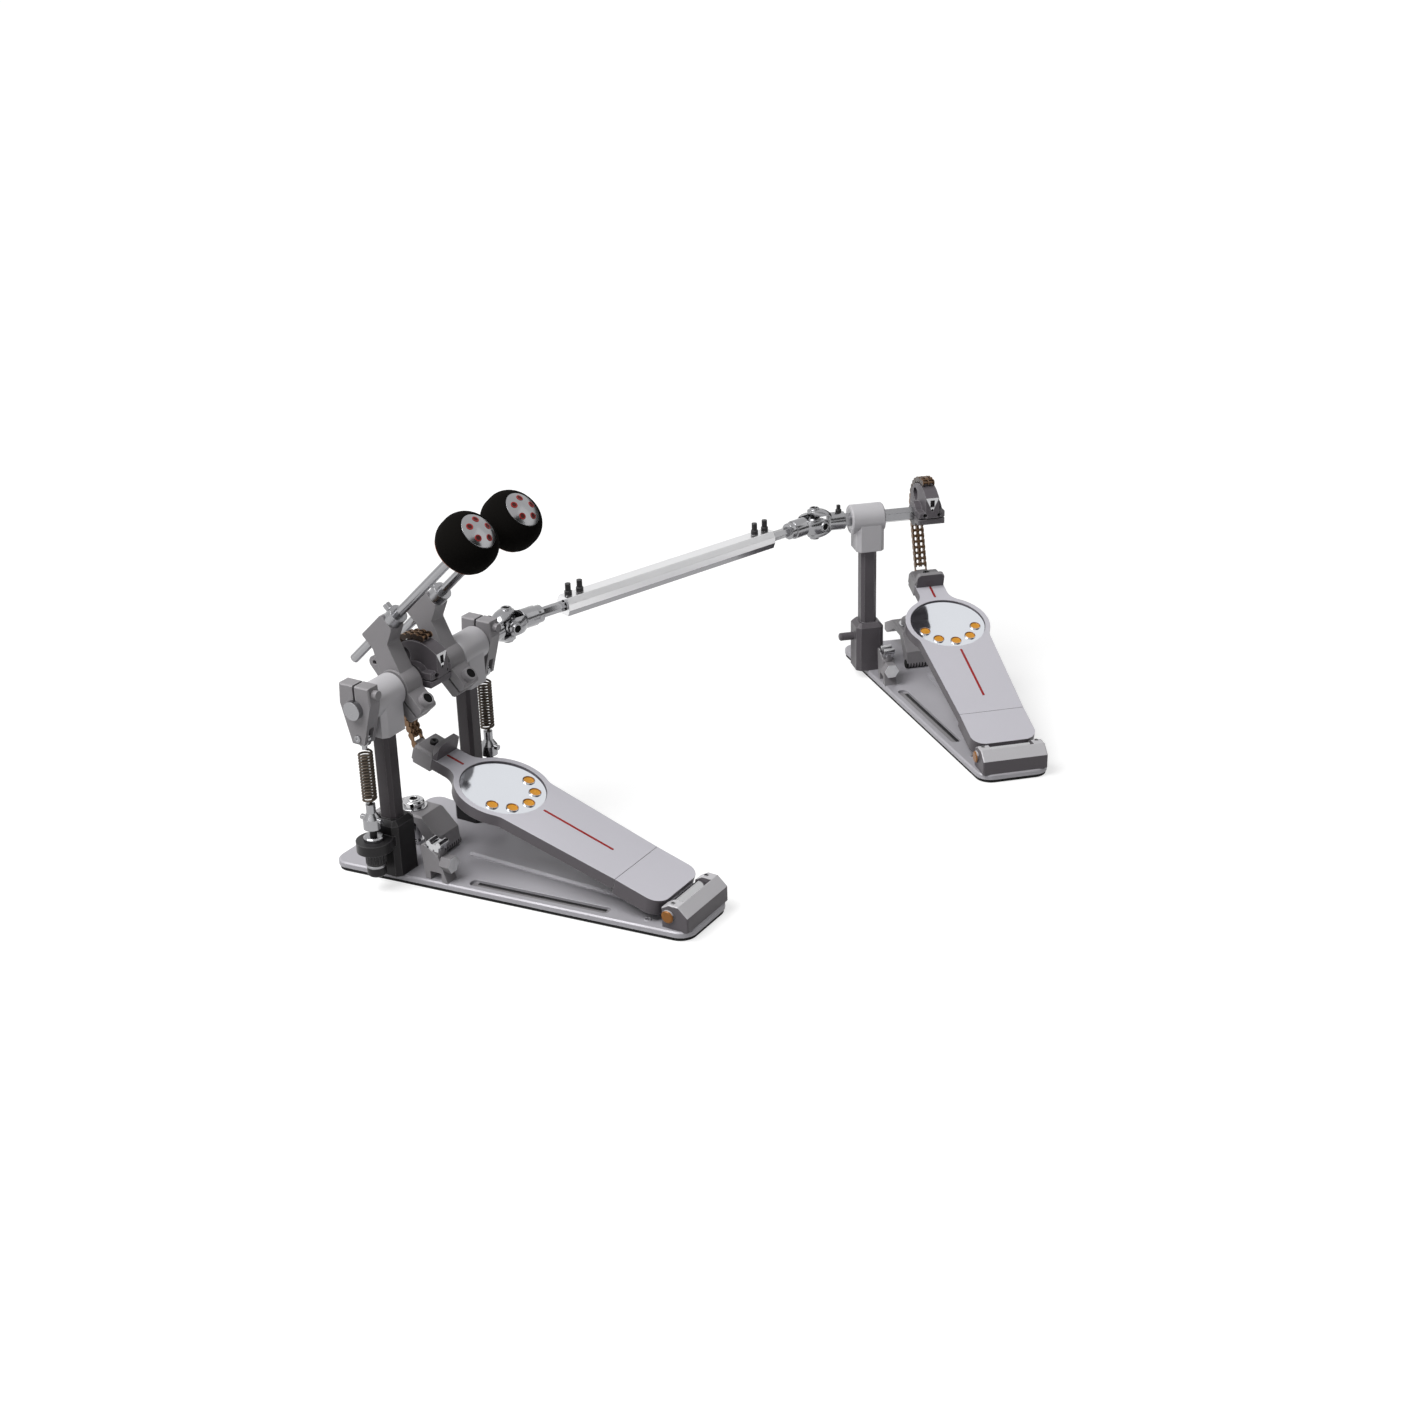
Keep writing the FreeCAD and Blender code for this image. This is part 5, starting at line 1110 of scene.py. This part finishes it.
@dataclass
class ClampTrim:
    """Washer, socket and ribbed rubber tip of one bridge over the plate's front."""

    layout: Layout
    pedal: str
    body: str
    washer: Ring = Ring(inner=8.6, outer=11.2, high=1.3, finish=POLISHED)
    washer_at: Point = (-10.0, 14.0, 42.0)
    socket: Screw = Screw(radius=5.2, high=0.8, socket=3.4, deep=0.6, rim=POLISHED)
    socket_at: Point = (-10.0, 14.0, 48.8)
    tip_at: Point = (-24.4, -18.0, 12.5)
    tip_long: float = 28.8
    tip_radius: float = 4.42
    ribs: int = 9
    rib_waist: float = 0.9

    def build(self) -> None:
        """Make the clamp's small pieces."""
        mount = Mount(self.layout.pedals[self.pedal].place(), self.body, f"{self.pedal}_bridge")
        mount.settle(self.washer.seed(), "washer", [spot(self.washer_at)])
        mount.settle(self.socket.seed(), "socket", [spot(self.socket_at)])
        mount.settle(self._tip(), "tip", [spot(self.tip_at, (1, 0, 0))])

    def _tip(self) -> Piece:
        """Make the rubber sleeve with ribs round it.

        Returns:
            The seed.
        """
        long = self.tip_long
        piece = Bench.cylinder(self.tip_radius, long, sides=20)
        Bench.select(piece, Part.EDGE, lambda a, b: abs(a.z - b.z) > long / 2)
        bpy.ops.mesh.subdivide(number_cuts=self.ribs * 2)
        bpy.ops.object.mode_set(mode="OBJECT")
        step = long / (self.ribs * 2 + 1)
        Bench.select(piece, Part.POINT, lambda p: (
            Bench.slack < p.z < long - Bench.slack and round(p.z / step) % 2 == 0))
        bpy.ops.transform.resize(value=(self.rib_waist, self.rib_waist, 1), center_override=(0, 0, long / 2))
        bpy.ops.object.mode_set(mode="OBJECT")
        Bench.paint(piece, RUBBER)
        return piece


@dataclass
class CadDress:
    """Materials for the carried-over solids."""

    layout: Layout
    by_ending: dict[str, Finish] = field(default_factory=lambda: {
        "base_plate": PLATE, "base_mat": RUBBER, "posts": SHADE, "post": POST_AND_SHADE,
        "bearing_housings": HEEL, "bearing_housing": HEEL, "bearings": STEEL, "heel_block": HEEL,
        "side_spur": CAST, "spring_nuts": JOINT, "_spring": WIRE, "spring_hook": JOINT,
        "hoop_clamp": CAST, "bridge": CAST, "clamp_bolt": POLISHED, "tension_knob": DARK,
        "footboard": SATIN, "heel_deck": SATIN, "traction_disc": MIRROR, "traction_studs": AMBER,
        "hinge_bar": POLISHED, "_axle": STEEL, "rocker": CAST, "fittings": STEEL,
        # The cam takes the dark post grey as painted shade from the holders beside it.
        "beater_holder": CAST, "beater_shaft": JOINT, "beater_head": FELT, "cam": POST_AND_SHADE,
        "chain_wrap": BRONZE, "chain_run": BRONZE, "yoke": POLISHED, "cross": STEEL,
        "drive_rod": POLISHED, "slide_rod": POLISHED, "link_tube": TUBE,
    })
    post_socket_top: float = 58.5
    tension_ear_out: float = 68.7
    heel_top_up: float = 0.5
    heel_cap_out: float = 31.05
    channel: Pair = (5.0, 7.4)
    board_top_up: float = 0.6
    toe_from: float = 247.4
    toe_past: float = 251.8
    toe_above: float = 5.95
    anchor: Pair = (-17.0, 172.4)
    tube_shade_under: float = -0.3
    tube_screw_side: float = 8.5
    tube_screw_top: float = 8.7
    key_at: Pair = (-51.5, -43.0)
    key_radius: float = 11.0
    key_low: float = 34.5
    nut_from: float = -50.0
    nut_span: Pair = (16.0, 33.0)
    nut_facing: float = -0.95

    def dress(self) -> None:
        """Give every solid its finish, then second materials to some faces: real second finishes, painted
        shade and a painted reflection.
        """
        for name, node in frame["nodes"].items():
            ending = max((end for end in self.by_ending if name.endswith(end)), key=len)
            node.data.materials.clear()
            node.data.materials.append(self.by_ending[ending].material())
            LOG.info("dressed %s as %s", name, self.by_ending[ending].name)
        main = self.layout.pedals["main"]
        # The posts' feet get near-black: partly their own dark finish, partly painted shade.
        self._faces("main_posts", main, SOCKET_DARK_AND_SHADE, lambda p, n: p.z < self.post_socket_top)
        # The tension ears get dark steel: partly their own dark finish, partly painted shade.
        self._faces("main_posts", main, DARK, lambda p, n: abs(p.x) > self.tension_ear_out)
        second: tuple[tuple[str, Finish, Test], ...] = (
            # Painted shade: the heel blocks' sides and the boards' side walls and undersides get the dark
            # post grey.
            ("heel_block", POST_AND_SHADE, lambda p, n: n.z < self.heel_top_up),
            ("heel_block", AMBER_DARK_AND_SHADE, lambda p, n: abs(p.x) > self.heel_cap_out),
            ("footboard", POST_AND_SHADE, self._shaded_side), ("heel_deck", POST_AND_SHADE, self._shaded_side),
            ("footboard", CAST, self._at_toe),
            ("base_plate", CAST, lambda p, n: self.channel[0] < p.z < self.channel[1] and n.z > Bench.flat),
            # Painted reflection: the nut's -Y faces get a near-white colour for the chrome's bright mirror
            # image.
            ("side_spur", POLISHED, self._on_key), ("side_spur", PAINTED_NUT_REFLECTION, self._on_nut),
            ("chain_wrap", PLATES, lambda p, n: abs(n.x) > Bench.flat),
            ("cam", POLISHED, lambda p, n: p.y < self.anchor[0] and p.z > self.anchor[1]))
        for pedal in self.layout.pedals.values():
            for ending, finish, test in second:
                self._faces(f"{pedal.name}_{ending}", pedal, finish, test)
        # Painted shade: the tube's underside gets the darker joint chrome.
        self._faces("link_tube", main, JOINT, lambda p, n: n.z < self.tube_shade_under)
        self._faces("link_tube", main, DARK, self._on_tube_screw)

    def _shaded_side(self, point: Vector, normal: Vector) -> bool:
        """Tell whether a face belongs to the board's side walls or underside, which take painted shade."""
        return (self.layout.board().inverted().to_3x3() @ normal).z < self.board_top_up

    def _at_toe(self, point: Vector, normal: Vector) -> bool:
        """Tell whether a face belongs to the toe block or its stop."""
        on_board = self.layout.board().inverted() @ point
        return on_board.y > self.toe_from and (on_board.z > self.toe_above or on_board.y > self.toe_past)

    def _on_key(self, point: Vector, normal: Vector) -> bool:
        """Tell whether a face belongs to the spur's key."""
        away = math.hypot(point.x - self.key_at[0], point.y - self.key_at[1])
        return away < self.key_radius and point.z > self.key_low

    def _on_nut(self, point: Vector, normal: Vector) -> bool:
        """Tell whether a face is a -Y face of the spur's nut, which takes a painted reflection."""
        level = self.nut_span[0] < point.z < self.nut_span[1]
        return level and point.y < self.nut_from and normal.y < self.nut_facing

    def _on_tube_screw(self, point: Vector, normal: Vector) -> bool:
        """Tell whether a face belongs to the tube's key screws."""
        above = self.tube_screw_side if abs(normal.z) < Bench.flat else self.tube_screw_top
        return point.z > self.layout.axle_height + above

    def _faces(self, name: str, pedal: PedalFrame, finish: Finish, test: Test) -> None:
        """Give the faces of a solid that pass a test another finish.

        Args:
            name: The solid's node.
            pedal: The pedal in whose millimetres the test is put.
            finish: The second finish.
            test: Takes a corner and the face's normal, and holds for every corner.
        """
        node = frame["nodes"][name]
        node.data.materials.append(finish.material())
        index = len(node.data.materials) - 1
        turn = Matrix.Rotation(-pedal.yaw, 3, "Z")
        back = pedal.place().inverted() @ node.matrix_world
        places = [back @ vertex.co for vertex in node.data.vertices]
        for face in node.data.polygons:
            if all(test(places[corner], turn @ face.normal) for corner in face.vertices):
                face.material_index = index


@dataclass
class Studio:
    """Pale floor, soft lamps, dark cards and the camera at the photograph's place."""

    eye: Point = (-1.236711, -1.050557, 0.853651)
    yaw: float = 59.48
    pitch: float = 24.13
    roll: float = -1.0
    lens: float = 53.217
    sensor: float = 36.0
    shift: Pair = (-0.03294, -0.00983)
    clip: Pair = (0.05, 60.0)
    world_light: float = 0.14
    floor_wide: float = 40.0
    floor_colour: float = 0.42
    floor_near: float = 0.70
    floor_far: float = 0.96
    floor_fade: Pair = (0.45, 1.7)
    middle: Point = (0.27, -0.17, -0.0005)
    lamp_aim: Point = (0.3, -0.15, 0.1)
    card_colour: float = 0.03

    def build(self) -> None:
        """Set up the floor, world, lamps, cards and camera."""
        self._floor()
        self._world()
        self._lamp("key", place=(-1.2, 0.7, 2.7), size=2.0, power=106)
        self._lamp("fill", place=(1.9, -2.3, 1.9), size=2.0, power=4)
        self._lamp("front", place=(-2.4, -1.2, 1.6), size=1.6, power=4)
        self._card("heel_flag", place=(0.6, -2.8, 0.3), size=(6.0, 1.2), facing=(0, 1, 0))
        self._card("cap_flag", place=(0.1, -2.2, 1.75), size=(1.9, 1.0), facing=(0, 0.8, -0.6))
        self._card("right_flag", place=(3.2, -1.2, 0.35), size=(4.0, 1.3), facing=(-1, 0, 0))
        self._camera()
        bpy.context.scene.view_settings.view_transform = "Standard"

    def _floor(self) -> None:
        """Lay a wide pale sheet under the mats."""
        Bench.clear()
        bpy.ops.mesh.primitive_plane_add(size=self.floor_wide, location=self.middle)
        floor = bpy.context.object
        floor.name = "floor"
        material = bpy.data.materials.new("floor_paper")
        tree = Shading(material)
        place = tree.add("TexCoord", {}).outputs["Object"]
        away = tree.add("VectorMath", {0: place}, "LENGTH").outputs["Value"]
        fade = tree.add("MapRange", {
            "Value": away, "From Min": self.floor_fade[0], "From Max": self.floor_fade[1],
            "To Min": self.floor_near, "To Max": self.floor_far}).outputs["Result"]
        glow = tree.add("Math", {0: fade, 1: tree.seen()}, "MULTIPLY").outputs["Value"]
        tree.fill(tree.nodes["Principled BSDF"], {
            "Base Color": (*(self.floor_colour,) * 3, 1), "Roughness": 0.9, "Specular IOR Level": 0.0,
            "Emission Color": (1, 1, 1, 1), "Emission Strength": glow})
        floor.data.materials.append(material)

    def _world(self) -> None:
        """Make the world white to the camera and in reflections, and dimmer as light."""
        world = bpy.data.worlds.new("studio")
        bpy.context.scene.world = world
        tree = Shading(world)
        level = tree.add("MapRange", {"Value": tree.seen(), "To Min": self.world_light, "To Max": 1.0})
        tree.fill(tree.nodes["Background"], {"Color": (1, 1, 1, 1), "Strength": level.outputs["Result"]})

    def _card(self, name: str, place: Point, size: Pair, facing: Point) -> None:
        """Stand a dark card that only reflections show, as a studio flag does.

        Args:
            name: The card's name.
            place: Its centre in metres.
            size: Its width and height in metres.
            facing: The direction that it faces.
        """
        Bench.clear()
        bpy.ops.mesh.primitive_plane_add(size=1)
        card = bpy.context.object
        card.name = name
        card.matrix_world = spot(place, facing) @ Matrix.Diagonal((*size, 1, 1))
        material = bpy.data.materials.new(name)
        tree = Shading(material)
        tree.fill(tree.nodes["Principled BSDF"], {
            "Base Color": (*(self.card_colour,) * 3, 1), "Roughness": 1.0})
        card.data.materials.append(material)
        for rays in ("camera", "diffuse", "shadow", "transmission"):
            setattr(card, f"visible_{rays}", False)

    def _lamp(self, name: str, place: Point, size: float, power: float) -> None:
        """Add a square soft lamp aimed at the pedal's middle.

        Args:
            name: The lamp's name.
            place: Its position in metres.
            size: Its side in metres.
            power: Its power in watts.
        """
        data = bpy.data.lights.new(name, "AREA")
        data.size = size
        data.energy = power
        lamp = bpy.data.objects.new(name, data)
        bpy.context.scene.collection.objects.link(lamp)
        lamp.location = place
        aim = Vector(self.lamp_aim) - Vector(place)
        lamp.rotation_euler = aim.to_track_quat("-Z", "Y").to_euler()

    def _camera(self) -> None:
        """Set the camera fitted to the photograph."""
        data = bpy.data.cameras.new("camera")
        data.sensor_width = self.sensor
        data.lens = self.lens
        data.shift_x, data.shift_y = self.shift
        data.clip_start, data.clip_end = self.clip
        camera = bpy.data.objects.new("camera", data)
        bpy.context.scene.collection.objects.link(camera)
        turn = Matrix.Rotation(math.radians(-self.yaw), 4, "Z")
        tip = Matrix.Rotation(math.radians(90 - self.pitch), 4, "X")
        lean = Matrix.Rotation(math.radians(self.roll), 4, "Z")
        camera.matrix_world = Matrix.Translation(Vector(self.eye)) @ turn @ tip @ lean
        bpy.context.scene.camera = camera


def write_sizes() -> None:
    """Bring the view layer up to date.
    """
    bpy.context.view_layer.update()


def main() -> None:
    """Dress the solids, add the details and set the studio."""
    logging.basicConfig(level=logging.INFO)
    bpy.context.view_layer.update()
    layout = Layout.read()
    CadDress(layout).dress()
    for pedal in layout.pedals:
        FootboardTrim(layout, pedal).build()
        HeelTrim(layout, pedal).build()
    BeaterTrim(layout, "primary", -1).build()
    BeaterTrim(layout, "secondary", 1).build()
    DriveTrim(layout).build()
    UniversalJoints(layout).build()
    SpringSide(layout, "left", -1).build()
    SpringSide(layout, "right", 1).build()
    ClampTrim(layout, "main", "hoop_clamp").build()
    ClampTrim(layout, "slave", "slave_base").build()
    Studio().build()
    write_sizes()


if __name__ == "__main__":
    main()
